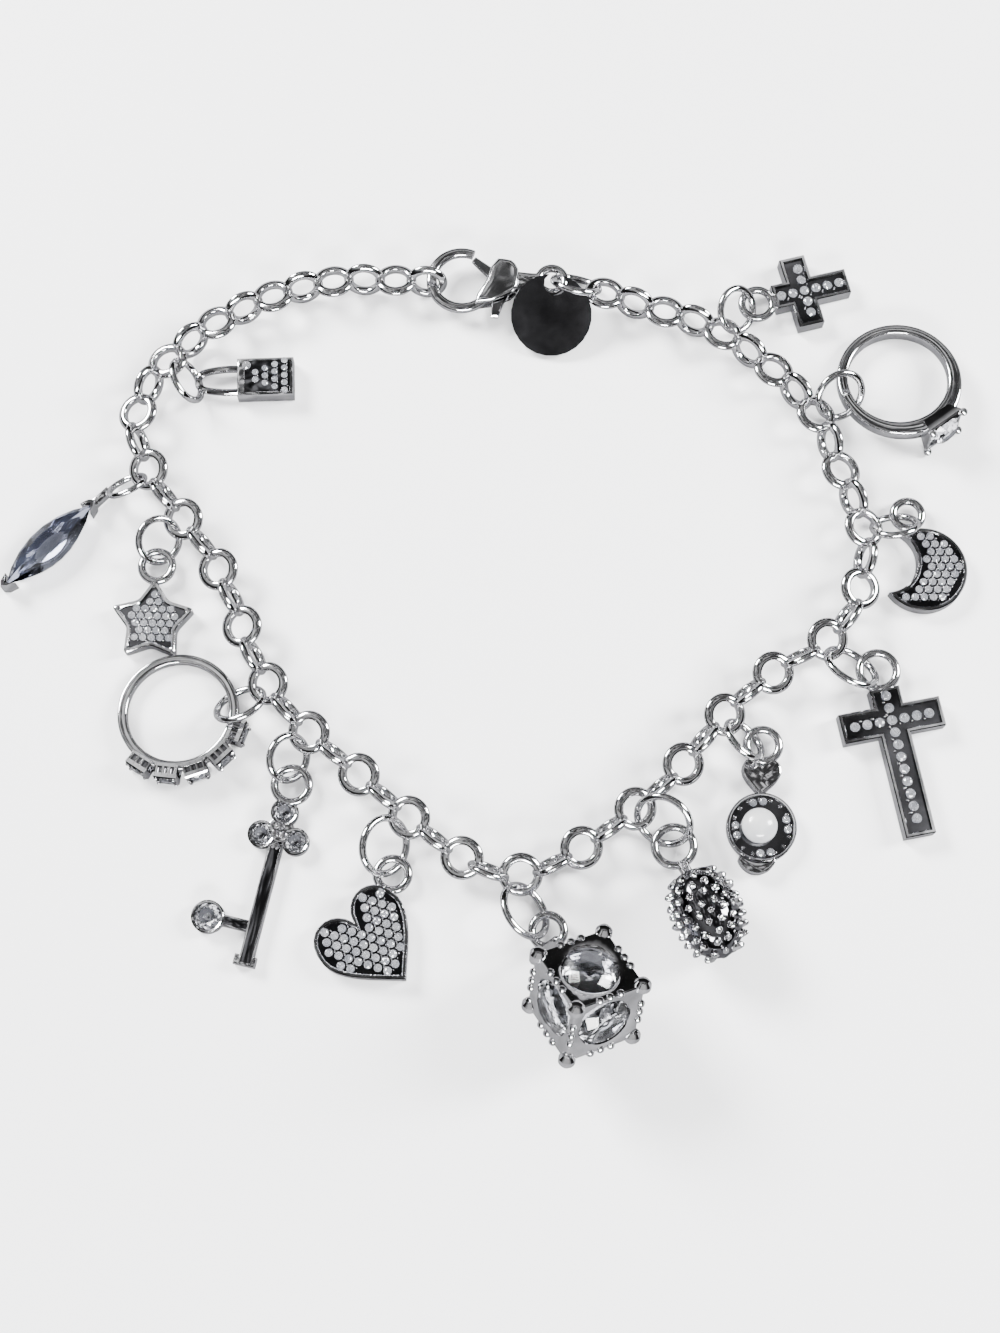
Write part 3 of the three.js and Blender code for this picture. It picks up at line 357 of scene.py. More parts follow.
# %% Form
class Form:
    """Points and faces in millimetres, gathered in a charm's own frame."""

    def __init__(self, place=Matrix()):
        self.place, self.points, self.faces = place, [], []

    def add(self, shape, at=Matrix()):
        points, faces = shape
        start = len(self.points)
        self.points += [self.place @ (at @ Vector(p)) for p in points]
        self.faces += [[start + i for i in face] for face in faces]

    def piece(self, name, material, nodes=(), body="bracelet", slot="silver", smooth=35):
        mesh = bpy.data.meshes.new(name)
        mesh.from_pydata([(p + ORIGIN) * MM for p in self.points], [], self.faces)
        mesh.materials.append(material)
        made = put(name, mesh)
        make_outward(mesh)
        for polygon in mesh.polygons:
            polygon.use_smooth = smooth > 0
        if smooth:
            mesh.set_sharp_from_angle(angle=math.radians(smooth))
        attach(made, body)
        if nodes:
            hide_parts(*nodes)
        print(name, len(mesh.polygons), "faces")

    def facets(self, name, material, nodes=(), slot="clear_glass"):
        self.piece(name, material, nodes, slot=slot, smooth=0)


def make_outward(mesh):
    work = bmesh.new()
    work.from_mesh(mesh)
    bmesh.ops.recalc_face_normals(work, faces=work.faces)
    work.to_mesh(mesh)
    work.free()


def numbered(stem, count):
    return ["%s_%d" % (stem, k) for k in range(1, count + 1)]


print("stones of the key", numbered("key_stone", 4))

# %% [markdown]
# Most shapes are skins: loops of points with four-sided faces between them. Stacked insets of an
# outline make a plate with soft edges. A plate whose rim stands up round a sunk field is a tray.

# %% Outlines, plates and trays
def shift(x, y, z=0.0):
    return Matrix.Translation((x, y, z))


def turn(degrees, axis="Z"):
    return Matrix.Rotation(math.radians(degrees), 4, axis)


def arc(angles, radius, x=0.0, y=0.0):
    return [(x + radius * math.cos(a), y + radius * math.sin(a)) for a in angles]


def circle(radius, sides, start=0.0):
    return arc([math.radians(start) + 2 * math.pi * k / sides for k in range(sides)], radius)


def box(x, y):
    return [(-x / 2, -y / 2), (x / 2, -y / 2), (x / 2, y / 2), (-x / 2, y / 2)]


def axes_at(middle, *axes):
    return Matrix.Translation(middle) @ Matrix(axes).transposed().to_4x4()


def skin(loops, size, closed=False):
    """Faces between loops of points that all have the same size."""
    faces = []
    for k in range(loops if closed else loops - 1):
        a, b = k * size, (k + 1) % loops * size
        faces += [(a + i, a + (i + 1) % size, b + (i + 1) % size, b + i) for i in range(size)]
    return faces


def ends(loops, size):
    return [tuple(range(size))[::-1], tuple(range((loops - 1) * size, loops * size))]


def inset(outline, distance):
    """An outline moved inward by a distance, corner by corner."""
    moved, n = [], len(outline)
    area = sum(outline[i][0] * outline[(i + 1) % n][1] - outline[(i + 1) % n][0] * outline[i][1]
               for i in range(n))
    side = 1 if area > 0 else -1
    for i in range(n):
        before, here, after = (Vector(outline[(i + s) % n]) for s in (-1, 0, 1))
        one, two = (here - before).normalized(), (after - here).normalized()
        normals = Vector((-one.y, one.x)) + Vector((-two.y, two.x))
        scale = 2 * distance * side / max(normals.length_squared, 0.6)
        moved.append(tuple(here + normals * scale))
    return moved


def layers(outline, steps):
    """Walls between an outline's insets at rising heights, closed at both ends.
    The outline is a list of corners, or a function that gives it for an inset."""
    at_inset = outline if callable(outline) else lambda distance: inset(outline, distance)
    points = [(x, y, z) for distance, z in steps for x, y in at_inset(distance)]
    size = len(points) // len(steps)
    return points, ends(len(steps), size) + skin(len(steps), size)


def plate(outline, thickness, soft=0.15):
    return layers(outline, [(soft, 0), (soft * 0.3, soft * 0.3), (0, soft), (0, thickness - soft),
                            (soft * 0.3, thickness - soft * 0.3), (soft, thickness)])


def tray(outline, thickness, rim, depth, soft=0.1):
    return layers(outline, [(soft, 0), (0, soft), (0, thickness - soft), (soft, thickness),
                            (rim - soft, thickness), (rim, thickness - soft),
                            (rim, thickness - depth)])


def block(x, y, z, soft):
    return plate(box(x, y), z, soft)


print("a soft block has", len(block(4.0, 5.0, 2.0, 0.25)[1]), "faces")

# %% [markdown]
# Rings are turned, grains are little balls, and wire follows a smooth curve through a few points.
# A cut stone has real facets, because they are what breaks up the light.

# %% Rings, grains, wire and cut stones
def lathe(profile, sides):
    """A closed profile of radius and height turned about Z."""
    points = [(r * c, r * s, z) for c, s in circle(1, sides) for r, z in profile]
    return points, skin(sides, len(profile), closed=True)


def ring(outer, wire, sides=48, around=12):
    return lathe([(outer - wire / 2 + x, z) for x, z in circle(wire / 2, around)], sides)


def grain(radius, sides, rows=5, height=None):
    """A ball, or a flattened bead where it has a height of its own."""
    height = height or radius
    points, faces = [(0, 0, height), (0, 0, -height)], []
    for row in range(1, rows):
        tilt = math.pi * row / rows
        points += [(x, y, height * math.cos(tilt))
                   for x, y in circle(radius * math.sin(tilt), sides)]
    last = 2 + (rows - 2) * sides
    for k in range(sides):
        nxt = (k + 1) % sides
        faces += [(0, 2 + k, 2 + nxt), (1, last + nxt, last + k)]
        faces += [(a + k, a + sides + k, a + sides + nxt, a + nxt)
                  for a in range(2, last, sides)]
    return points, faces


def on_curve(p0, p1, p2, p3, t):
    """A point of the smooth curve from p1 to p2."""
    return 0.5 * (2 * p1 + (p2 - p0) * t + (2 * p0 - 5 * p1 + 4 * p2 - p3) * t * t
                  + (3 * p1 - p0 - 3 * p2 + p3) * t ** 3)


def wire_along(path, wire):
    """A round wire along a smooth curve through the points."""
    points, spots, around = [], [], 10
    for i in range(len(path) - 1):
        near = [Vector(path[min(max(i + s, 0), len(path) - 1)]) for s in (-1, 0, 1, 2)]
        spots += [on_curve(*near, t) for t in (0, 0.2, 0.4, 0.6, 0.8)]
    spots.append(Vector(path[-1]))
    for i, spot in enumerate(spots):
        along = (spots[min(i + 1, len(spots) - 1)] - spots[max(i - 1, 0)]).normalized()
        side = (side - along * side.dot(along)) if i else along.orthogonal()
        side.normalize()
        up = along.cross(side)
        points += [tuple(spot + side * x + up * y) for x, y in circle(wire / 2, around)]
    return points, ends(len(spots), around) + skin(len(spots), around)


def gem(radius, crown=0.38, pavilion=0.5, sides=8):
    """A round brilliant: table, star and kite facets, girdle and pavilion."""
    points = [(x, y, crown * radius) for x, y in circle(radius * 0.58, sides)]
    points += [(x, y, crown * radius * 0.62) for x, y in circle(radius * 0.8, sides, 180 / sides)]
    points += [(x, y, 0) for x, y in circle(radius, 2 * sides)]
    points += [(0, 0, -pavilion * radius)]
    faces = [tuple(range(sides))]
    for k in range(sides):
        nxt, upper, last = (k + 1) % sides, sides + k, sides + (k - 1) % sides
        rim, end = 2 * sides + 2 * k, len(points) - 1
        mid, far = rim + 1, 2 * sides + (2 * k + 2) % (2 * sides)
        faces += [(k, upper, nxt), (k, last, rim, upper), (rim, mid, upper), (mid, far, upper),
                  (rim, end, mid), (mid, end, far)]
    return points, faces


print("a cut stone has", len(gem(1.0)[1]), "facets")

# %% [markdown]
# The chain is a row of round belcher links: every link is a band with a D section, flat inside
# and crowned outside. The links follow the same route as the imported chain, so the fine ones lie
# on the plain ones, and the joints are found by marching along it, one link's reach at a time.

# %% Route of the chain
LINK_RADIUS, LINK_THICKNESS, LINK_WIDTH = 2.15, 0.5, 0.85
LINK_OVERLAP, LINK_ROLL, HALVES_CLEARANCE = 0.06, 20, 0.2
ROUTE = [
    (-6.0, 40.9), (-16.9, 41.1), (-25.4, 38.6), (-32.2, 34.2), (-36.6, 28.6), (-37.0, 22.8),
    (-33.6, 16.9), (-29.3, 11.4), (-26.6, 6.1), (-24.2, -0.2), (-20.5, -5.6), (-15.5, -10.0),
    (-9.9, -14.8), (-4.5, -19.2), (1.0, -21.6), (6.1, -19.8), (12.1, -15.7), (17.3, -11.2),
    (21.9, -5.6), (27.2, -1.0), (33.0, 2.4), (36.1, 7.5), (36.8, 14.0), (34.7, 19.5),
    (32.9, 25.3), (28.7, 30.6), (22.2, 35.7), (15.0, 38.2), (9.4, 40.2),
]


def route_points(samples=40):
    spots = [Vector((x, y, 0)) for x, y in ROUTE]
    guides = [2 * spots[0] - spots[1]] + spots + [2 * spots[-1] - spots[-2]]
    total, points = len(spots) * samples, []
    for k in range(total + 1):
        where = (len(spots) - 1) * k / total
        i = min(int(where), len(spots) - 2)
        points.append(on_curve(*guides[i:i + 4], where - i))
    along = (points[-1] - points[-2]).normalized()
    return points + [points[-1] + along * 4 * LINK_RADIUS]


def march(points, steps):
    joints, index = [points[0]], 1
    for step in steps:
        start = joints[-1]
        while index < len(points) - 1 and (points[index] - start).length < step:
            index += 1
        near, far = (points[index - 1] - start).length, (points[index] - start).length
        joints.append(points[index - 1].lerp(points[index], (step - near) / (far - near)))
    return joints


print("route of", len(ROUTE), "points, drawn with", len(route_points()))

# %% [markdown]
# Links are rolled by turns to one side and to the other. The step is eased until the last joint
# meets the route's end, so that the number of links is whole.

# %% Links
def link_places():
    points = route_points()
    inside_link = LINK_RADIUS - LINK_THICKNESS
    reach = math.sqrt(inside_link ** 2 - (LINK_WIDTH / 2) ** 2) + LINK_OVERLAP / 2
    length = sum((b - a).length for a, b in zip(points[:-2], points[1:-1]))
    count = 2 * round(length / reach / 4)
    middle = 2 * round(count / 4)
    ending = (points[-2] - points[-3]).normalized()
    ease = 1.0
    for _ in range(8):
        steps = [ease * 2 * reach - (HALVES_CLEARANCE if k in (middle - 1, middle) else 0)
                 for k in range(count)]
        joints = march(points, steps)
        ease *= length / (length + (joints[-1] - points[-2]).dot(ending))
    upright = math.radians(90 - LINK_ROLL)
    height = LINK_RADIUS * math.sin(upright) + LINK_WIDTH / 2 * math.cos(upright)
    places = []
    for k in range(count):
        along = (joints[k + 1] - joints[k]).normalized()
        roll = math.radians(-LINK_ROLL) if k % 2 else upright
        across = Vector((along.y, -along.x, 0)) * math.cos(roll) + Vector((0, 0, math.sin(roll)))
        slide = {middle: -0.5, middle - 1: 0.5}.get(k, 0) * HALVES_CLEARANCE
        centre = joints[k].lerp(joints[k + 1], 0.5) + along * slide
        centre.z = height
        places.append((axes_at(centre, along, across, along.cross(across)),
                       "left" if k < middle else "right"))
    return places


def link_section(depth=0.86):
    """Flat inside with soft corners, crowned outside."""
    half, inner = LINK_WIDTH / 2, LINK_RADIUS - depth
    crown = depth - 0.2
    section = [(inner, -half * 0.7), (inner + 0.08, -half * 0.93)]
    for k in range(9):
        angle = math.radians(-80 + 20 * k)
        section.append((inner + 0.2 + crown * math.cos(angle), half * math.sin(angle)))
    return section + [(inner + 0.08, half * 0.93), (inner, half * 0.7)]


LINKS = link_places()
fine_link = lathe(link_section(), 40)
for side in ("left", "right"):
    form = Form()
    for place, half in LINKS:
        if half == side:
            form.add(fine_link, place)
    form.piece("links_" + side, SILVER, ["chain_" + side], smooth=50)

# %% [markdown]
# Jump rings are turns of round wire, cut and closed. Their places are read back from the packed
# rings: the middle of the points, the plane they lie in, and how far out they reach.

# %% Jump rings
RING_WIRE, RING_INSET, RING_LIFT = 0.72, 0.03, 0.06


def ring_place(node):
    points = [v.co / MM - ORIGIN for v in frame["nodes"][node].data.vertices]
    centre = sum(points, Vector()) / len(points)
    far = max(points, key=lambda p: (p - centre).length)
    first = (far - centre).normalized()
    widest = max(points, key=lambda p: first.cross(p - centre).length)
    normal = first.cross(widest - centre).normalized()
    return axes_at(centre, first, normal.cross(first), normal), (far - centre).length


rings = sorted(n for n in frame["nodes"] if n.startswith("jump_ring_")) + ["end_ring"]
form = Form()
for node in rings:
    place, outer = ring_place(node)
    form.add(ring(outer - RING_INSET, RING_WIRE, 48, 10), shift(0, 0, RING_LIFT) @ place)
form.piece("wire_rings", SILVER, rings, smooth=60)

# %% [markdown]
# Most charms hang from a ring of their own, called a bail. They are modelled with the bail at the
# origin and the charm below it, and then laid in place: two numbers say where the bail is, and the
# third is the direction in which the charm hangs.

# %% Charm frames
PLACES = {
    "padlock": (-31.6, 30.2, 2), "marquise": (-39.7, 18.4, 226), "star": (-34.6, 10.2, 268),
    "key": (-20.4, -12.3, 257), "heart": (-10.4, -21.1, 270), "cone": (16.9, -18.4, 292),
    "pearl_drop": (25.9, -8.3, 265), "cross_large": (37.6, -0.7, 281),
    "moon": (41.4, 15.7, 285), "cross_small": (26.9, 39.0, 14),
}
BAIL_WIRE, BAIL_LEVEL = 0.8, 0.95


def hung(name):
    x, y, hang = PLACES[name]
    return shift(x, y) @ turn(hang + 90)


def bail(outer, level=BAIL_LEVEL):
    points, faces = ring(outer, BAIL_WIRE, 40)
    return [(x, y, z + level) for x, y, z in points], faces


print("hung by a bail", sorted(PLACES))

# %% [markdown]
# Pave means small stones set side by side, with a grain of silver at each gap. Real ones never sit
# quite level, so each stone gets a turn and a slight tilt of its own. The floor between them is a
# black sheet of painted shade, and all these floors are one piece.

# %% Pave
STONE_LIFT, STONE_TILT, ROW_STEP = 0.14, 12, 0.87
SHADE_FLOORS = Form()


# A thin dark sheet under the stones: painted shade in the gaps between them.
def paint_shade_floor(place, outline, level, rim=0.34):
    SHADE_FLOORS.add(layers(outline, [(rim, level - 0.05), (rim, level + 0.02)]), place)


def pave(metal, stones, spots, level, size):
    for x, y in spots:
        spin = turn(random.uniform(0, 60))
        tilt = turn(random.uniform(-STONE_TILT, STONE_TILT), "X")
        stones.add(gem(size, 0.45, 0.3, 6), shift(x, y, level + STONE_LIFT) @ spin @ tilt)
    for i, (x, y) in enumerate(spots):
        for u, v in spots[i + 1:]:
            if math.hypot(x - u, y - v) < 2.6 * size:
                beside = shift((x + u) / 2 - (y - v) * 0.36, (y + v) / 2 + (x - u) * 0.36,
                               level + STONE_LIFT)
                metal.add(grain(size * 0.27, 6), beside)


def inside(outline, x, y):
    hit = False
    for (x0, y0), (x1, y1) in zip(outline, outline[1:] + outline[:1]):
        if (y0 > y) != (y1 > y) and x < (x1 - x0) * (y - y0) / (y1 - y0) + x0:
            hit = not hit
    return hit


def field(border, pitch):
    """Spots on a close grid inside a border."""
    xs, ys = [p[0] for p in border], [p[1] for p in border]
    spots, row = [], 0
    y = min(ys)
    while y <= max(ys):
        x = min(xs) + (pitch / 2 if row % 2 else 0)
        while x <= max(xs):
            if inside(border, x, y):
                spots.append((x, y))
            x += pitch
        y += pitch * ROW_STEP
        row += 1
    return spots


print("a 4 mm square takes", len(field([(0, 0), (4, 0), (4, 4), (0, 4)], 0.9)), "stones")

# %% [markdown]
# The crosses are cast as shallow trays with one row of stones along each arm. The stones' flat
# tops come out about level with the rim.

# %% Crosses
RIM, SUNK = 0.4, 0.3


def set_tray(name, outline, at, thickness, bail_radius, spots, size):
    """A tray under its bail, with stones of one size set at the spots."""
    metal, stones, level = Form(hung(name)), Form(hung(name)), thickness - SUNK
    metal.add(tray(outline, thickness, RIM, SUNK), at)
    # A dark sheet over the sunk field: painted shade between the stones.
    paint_shade_floor(hung(name) @ at, outline, level)
    pave(metal, stones, [tuple((at @ Vector((*spot, 0))).to_2d()) for spot in spots], level, size)
    metal.add(bail(bail_radius))
    metal.piece(name + "_tray", SILVER, [name])
    stones.facets(name + "_pave", PAVE)


def cross(name, top, foot, arm, bar, bail_radius, thickness=1.8, pitch=1.25):
    half, end, neck = bar / 2, 0.8, 0.25
    left = [(-half, top), (-half, half), (-arm, half), (-arm, -half), (-half, -half),
            (-half, -foot)]
    outline = left + [(-x, y) for x, y in reversed(left)]
    down = int((top + foot - 1.4) / pitch)
    spots = [(0, top - end - k * pitch) for k in range(down + 1)]
    row = min((y for _, y in spots), key=abs)
    for k in range(1, int((arm - end) / pitch) + 1):
        spots += [(k * pitch, row), (-k * pitch, row)]
    set_tray(name, outline, shift(0, neck - top - bail_radius), thickness, bail_radius, spots,
             pitch * 0.4)


cross("cross_large", 3.3, 11.7, 5.1, 3.0, 2.25)
cross("cross_small", 3.0, 5.0, 3.9, 2.7, 2.0)

# %% [markdown]
# The star, the heart and the moon are such trays too, filled with stones on a close grid. The
# star's outline is inset while its corners are sharp and only then rounded, or its rim would fold
# over at the notches. The moon is what one circle leaves of another.

# %% Star, heart and moon
def filled_tray(name, outline, at, thickness, bail_radius, pitch, size):
    border = outline(0.25 + size) if callable(outline) else inset(outline, 0.24 + size)
    set_tray(name, outline, at, thickness, bail_radius, field(border, pitch), size)


def star_outline(distance, radius=4.35, notch=2.55, share=0.17):
    """Five points moved inward by a distance, each corner drawn as a short curve."""
    sharp = [(r * math.cos(math.radians(90 + 36 * k)), r * math.sin(math.radians(90 + 36 * k)))
             for k, r in enumerate([radius, notch] * 5)]
    corners = [Vector(spot) for spot in inset(sharp, distance)]
    spots = []
    for k, here in enumerate(corners):
        one, two = here.lerp(corners[k - 1], share), here.lerp(corners[(k + 1) % 10], share)
        for t in (0.0, 0.33, 0.67, 1.0):
            spots.append(tuple(one.lerp(here, t).lerp(here.lerp(two, t), t)))
    return spots


def bezier(p0, p1, p2, p3, steps=10):
    spots = []
    for k in range(steps):
        t = k / steps
        u = 1 - t
        spots.append(tuple(u ** 3 * a + 3 * u * u * t * b + 3 * u * t * t * c + t ** 3 * d
                           for a, b, c, d in zip(p0, p1, p2, p3)))
    return spots


def heart_outline(w, h):
    right = bezier((0, -h * .55), (w * .15, -h * .38), (w * .5, -h * .12), (w * .5, h * .14))
    right += bezier((w * .5, h * .14), (w * .5, h * .52), (w * .08, h * .55), (0, h * .24))
    left = [(-x, y) for x, y in reversed(right[1:])]
    return right + [(0, h * .24)] + left


def moon_outline(distance, radius=4.35, cut=3.35, bite=(-3.9, 0.9)):
    """A crescent between two circles, moved inward by a distance."""
    out, back, apart = radius - distance, cut + distance, math.hypot(*bite)
    way = math.atan2(bite[1], bite[0])
    a = math.acos((out ** 2 + apart ** 2 - back ** 2) / (2 * out * apart))
    b = math.acos((back ** 2 + apart ** 2 - out ** 2) / (2 * back * apart))
    outer = [way + a + (2 * math.pi - 2 * a) * k / 44 for k in range(45)]
    inner = [way + math.pi + b - 2 * b * k / 24 for k in range(1, 24)]
    return arc(outer, out) + arc(inner, back, *bite)


filled_tray("star", star_outline, shift(0, -5.8), 1.5, 1.95, 0.86, 0.37)
filled_tray("heart", heart_outline(9.6, 9.4), shift(-2.1, -6.4) @ turn(43), 1.7, 1.95, 0.98, 0.41)
filled_tray("moon", moon_outline, shift(-0.3, -6.05) @ turn(-15), 1.5, 1.85, 0.92, 0.39)

# %% [markdown]
# The padlock has a rounded case and a wire shackle. Its stones widen row by row below one larger
# stone in the corner.

# %% Padlock
def padlock():
    place, case_level = hung("padlock"), 1.98
    metal, stones = Form(place), Form(place)
    metal.add(block(4.2, 5.8, 2.0, 0.25), shift(0, -7.4))
    path = [(-1.26, -4.9, 1), (-1.26, -2.9, 1), (-0.88, -0.9, 1), (0, -0.375, 1), (0.88, -0.9, 1),
            (1.26, -2.9, 1), (1.26, -4.9, 1)]
    metal.add(wire_along(path, 0.75))
    # A dark sheet under the stones: painted shade between them.
    SHADE_FLOORS.add(block(3.5, 4.7, 0.06, 0.02), place @ shift(0, -7.6, 1.97))
    spots = [((k - (row + 1) / 2) * 0.82, -6.4 - row) for row in range(4) for k in range(row + 2)]
    pave(metal, stones, spots, case_level, 0.34)
    stones.add(gem(0.45), shift(1.2, -5.5, 2.1))
    metal.piece("padlock_case", SILVER, ["padlock"])
    stones.facets("padlock_pave", PAVE)


padlock()

# %% [markdown]
# The key is a square bar with round cups that hold cut stones, and its bow is a small cluster of
# the same cups with grains between them. Its bar and bit carry dark sheets between their edges,
# a painted dark reflection on their flat faces.

# %% Key
def cup(radius, height, wall=0.3):
    """A round setting, open at the top."""
    return lathe([(radius * 0.2, 0), (radius + wall * 0.7, 0), (radius + wall, 0.2),
                  (radius + wall, height - 0.1), (radius + wall * 0.6, height),
                  (radius + 0.05, height - 0.05), (radius + 0.05, height - 0.6),
                  (radius * 0.2, height - 0.62)], 32)


def key():
    place, bar_middle, bit_middle = hung("key"), -12.05, -14.3
    metal, stones = Form(place), Form(place)
    metal.add(block(1.35, 12.1, 1.3, 0.15), shift(0, bar_middle))
    metal.add(block(2.15, 1.0, 1.2, 0.15), shift(-0.1, -17.6))
    metal.add(block(3.4, 1.1, 1.1, 0.15), shift(-1.7, bit_middle))
    # Dark sheets on the bar and the bit: a painted dark reflection on their flat faces.
    SHADE_FLOORS.add(block(1.02, 11.5, 0.06, 0.02), place @ shift(0, bar_middle, 1.27))
    SHADE_FLOORS.add(block(2.3, 0.75, 0.06, 0.02), place @ shift(-1.9, bit_middle, 1.07))
    metal.add(plate(circle(1.3, 24), 1.25), shift(0.05, -4.5))
    for x, y in ((0, -4.2), (-0.4, -5.1), (0.5, -5.1), (0, -6.2)):
        metal.add(grain(0.45, 14), shift(x, y, 1.25))
    for x, y, radius in ((0, -2.75, 1.05), (-1.65, -5.35, 1.05), (1.75, -5.35, 1.05),
                         (-4.65, bit_middle, 1.3)):
        metal.add(cup(radius, 1.3), shift(x, y))
        stones.add(gem(radius, 0.42), shift(x, y, 1.15) @ turn(11))
    metal.add(bail(2.1))
    metal.piece("key_bar", SILVER, ["key"])
    stones.facets("key_stones", CLEAR, numbered("key_stone", 4))


key()

# %% [markdown]
# The cube is a cast frame with a large cut stone in each face, round grains on its corners and
# three small ones on each edge. It rests on one corner as it lies. Each face is a skin from its
# square edge to a round hole and down into the stone's seat.

# %% Cube
def cube():
    half, edge, hole_radius, stone, ball, middle = 3.7, 3.58, 2.73, 2.65, 0.75, (7.9, -33.3)
    lean = turn(21) @ turn(20, "Y") @ turn(-30, "X")
    corners = [(x, y, z) for x in (-half, half) for y in (-half, half) for z in (-half, half)]
    low = min((lean @ Vector(c)).z for c in corners)
    place = shift(*middle, ball - low) @ lean
    metal, stones = Form(place), Form(place)
    hole = circle(hole_radius, 32)
    border = [(x * edge / max(abs(x), abs(y)), y * edge / max(abs(x), abs(y)))
              for x, y in circle(1, 32)]
    seat = [(x * share, y * share, half + z) for outline, share, z in (
        (border, 1, 0), (hole, 1.12, 0), (hole, 1, -0.15), (hole, 1, -0.9), (hole, 0.15, -0.9))
        for x, y in outline]
    for about, tip in ((0, 0), (90, 0), (180, 0), (270, 0), (0, 90), (0, -90)):
        face = turn(tip, "Y") @ turn(about, "X")
        metal.add((seat, skin(5, 32)), face)
        stones.add(gem(stone, 0.34, 0.2), face @ shift(0, 0, half - 0.3) @ turn(11))
    bar = [(edge + x, edge + y, z) for z in (-edge, edge) for x, y in circle(0.12, 8)]
    for about in (0, 90, 180, 270):
        for base in (Matrix(), turn(90, "Y"), turn(90, "X")):
            metal.add((bar, skin(2, 8)), base @ turn(about))
    for x, y, z in corners:
        metal.add(grain(ball + 0.1, 16), shift(x * 0.95, y * 0.95, z * 0.95))
    for axis in range(3):
        for u, v in ((-3.62, -3.62), (-3.62, 3.62), (3.62, -3.62), (3.62, 3.62)):
            for along in (-1.1, 0, 1.1):
                spot = [u, v]
                spot.insert(axis, along)
                metal.add(grain(0.42, 10), shift(*spot))
    hang_cube(metal, place @ Vector((-half, half, half)), middle)
    metal.piece("cube_frame", SILVER, ["cube"])
    stones.facets("cube_stones", CLEAR, numbered("cube_stone", 6))


def hang_cube(metal, corner, middle):
    """The bail, and the wire from it to the cube's top corner."""
    x, y, level = 4.6, -26.6, 1.2
    back = metal.place.inverted()
    metal.add(bail(1.95, level), back @ shift(x, y))
    path = [(x + 0.9, y - 1.0, level), (corner.x, corner.y, corner.z * 0.55),
            corner.lerp(Vector((*middle, 4)), 0.15)]
    metal.add(wire_along(path, 1.1), back)


cube()

# %% [markdown]
# The cone charm is a swollen bud covered in rows of short points, cast with its loop. No two
# points lean alike, which makes it glitter, and the core between them is dark silver, painted
# shade between the points.

# %% Cone
CONE_WIDEST, CONE_LENGTH, CONE_MIDDLE = 3.2, 9.0, 3.75
CONE_SHAPE = [(0.02, 0.0), (0.3, 0.01), (0.55, 0.04), (0.8, 0.16), (0.93, 0.3), (0.97, 0.5),
              (0.9, 0.68), (0.72, 0.84), (0.4, 0.95), (0.02, 0.99)]


def cone_width(down):
    for (r0, z0), (r1, z1) in zip(CONE_SHAPE[:-1], CONE_SHAPE[1:]):
        if z0 <= down <= z1:
            return CONE_WIDEST * (r0 + (r1 - r0) * (down - z0) / (z1 - z0))


def cone(sides=36, rows=9):
    place = hung("cone") @ shift(0, -3.0, CONE_MIDDLE)
    form, core = Form(place), Form(place)
    n = len(CONE_SHAPE)
    points = [(r * CONE_WIDEST * c, -CONE_LENGTH * z, r * CONE_WIDEST * s)
              for c, s in circle(1, sides) for r, z in CONE_SHAPE]
    faces = [(k * n + i, k * n + i + 1, (k + 1) % sides * n + i + 1, (k + 1) % sides * n + i)
             for k in range(sides) for i in range(n - 1)]
    core.add((points, faces))
    point = layers(circle(0.42, 7), [(0, -0.2), (0.04, 0.4), (0.15, 0.66), (0.30, 0.8)])
    for row in range(rows):
        down = 0.08 + 0.105 * row
        width = cone_width(down)
        count = max(7, round(width * 5.0))
        for k in range(count):
            about = turn(360 / count * (k + row % 2 / 2), "Y")
            lean = turn(14 + random.uniform(-18, 18), "X") @ turn(random.uniform(-18, 18), "Y")
            form.add(point, about @ shift(0, -CONE_LENGTH * down, width - 0.22) @ lean)
    back = shift(0, 3.0, -CONE_MIDDLE)
    form.add(bail(2.3, 1.3), back)
    form.add(wire_along([(0, -1.9, 1.3), (0, -2.9, 2.2), (0, -3.9, 3.7)], 1.15), back)
    form.piece("cone_points", SILVER, ["cone"], smooth=40)
    # The core is dark silver: painted shade between the points.
    core.piece("cone_painted_shade_core", DARK_SILVER, smooth=40)


cone()

# %% [markdown]
# The pearl sits in a round frame of small stones and grains, under a plain heart and over a
# crescent. It is a flattened ball with no edge at all.

# %% Pearl drop
FRAME_X, FRAME_Y, FRAME_RADIUS = 0.3, -8.2, 3.4


def pearl_drop():
    place = hung("pearl_drop")
    metal, stones, bead = (Form(place) for _ in range(3))
    metal.add(plate(heart_outline(3.84, 3.76), 1.4, 0.2), shift(0, -3.1))
    frame_round, at = circle(FRAME_RADIUS, 40), shift(FRAME_X, FRAME_Y)
    metal.add(tray(frame_round, 1.4, 0.25, 0.5, 0.08), at)
    # A dark sheet in the frame's sunk ring: painted shade round the stones.
    paint_shade_floor(place @ at, frame_round, 0.9, 0.3)
    for k, (x, y) in enumerate(circle(2.55, 16)):
        if k % 4 < 2:
            stones.add(gem(0.4, 0.5, 0.3, 6), shift(x + FRAME_X, y + FRAME_Y, 1.1))
        metal.add(grain(0.24, 8), shift(x * 1.08 + FRAME_X - y * 0.15,
                                        y * 1.08 + FRAME_Y + x * 0.15, 1.05))
    crescent = arc([math.radians(a) for a in range(200, 341, 10)], 1.9, y=-10.9)
    crescent += arc([math.radians(a) for a in range(330, 209, -12)], 1.9, y=-10.1)
    metal.add(plate(crescent, 1.4, 0.06))
    metal.add(bail(2.0))
    bead.add(grain(1.75, 32, 14, 1.26), shift(0, FRAME_Y, 1.85))
    metal.piece("pearl_drop_frame", SILVER, ["pearl_drop"])
    stones.facets("pearl_drop_pave", PAVE)
    bead.piece("pearl_bead", PEARL, ["pearl"], slot="pearl", smooth=80)


pearl_drop()

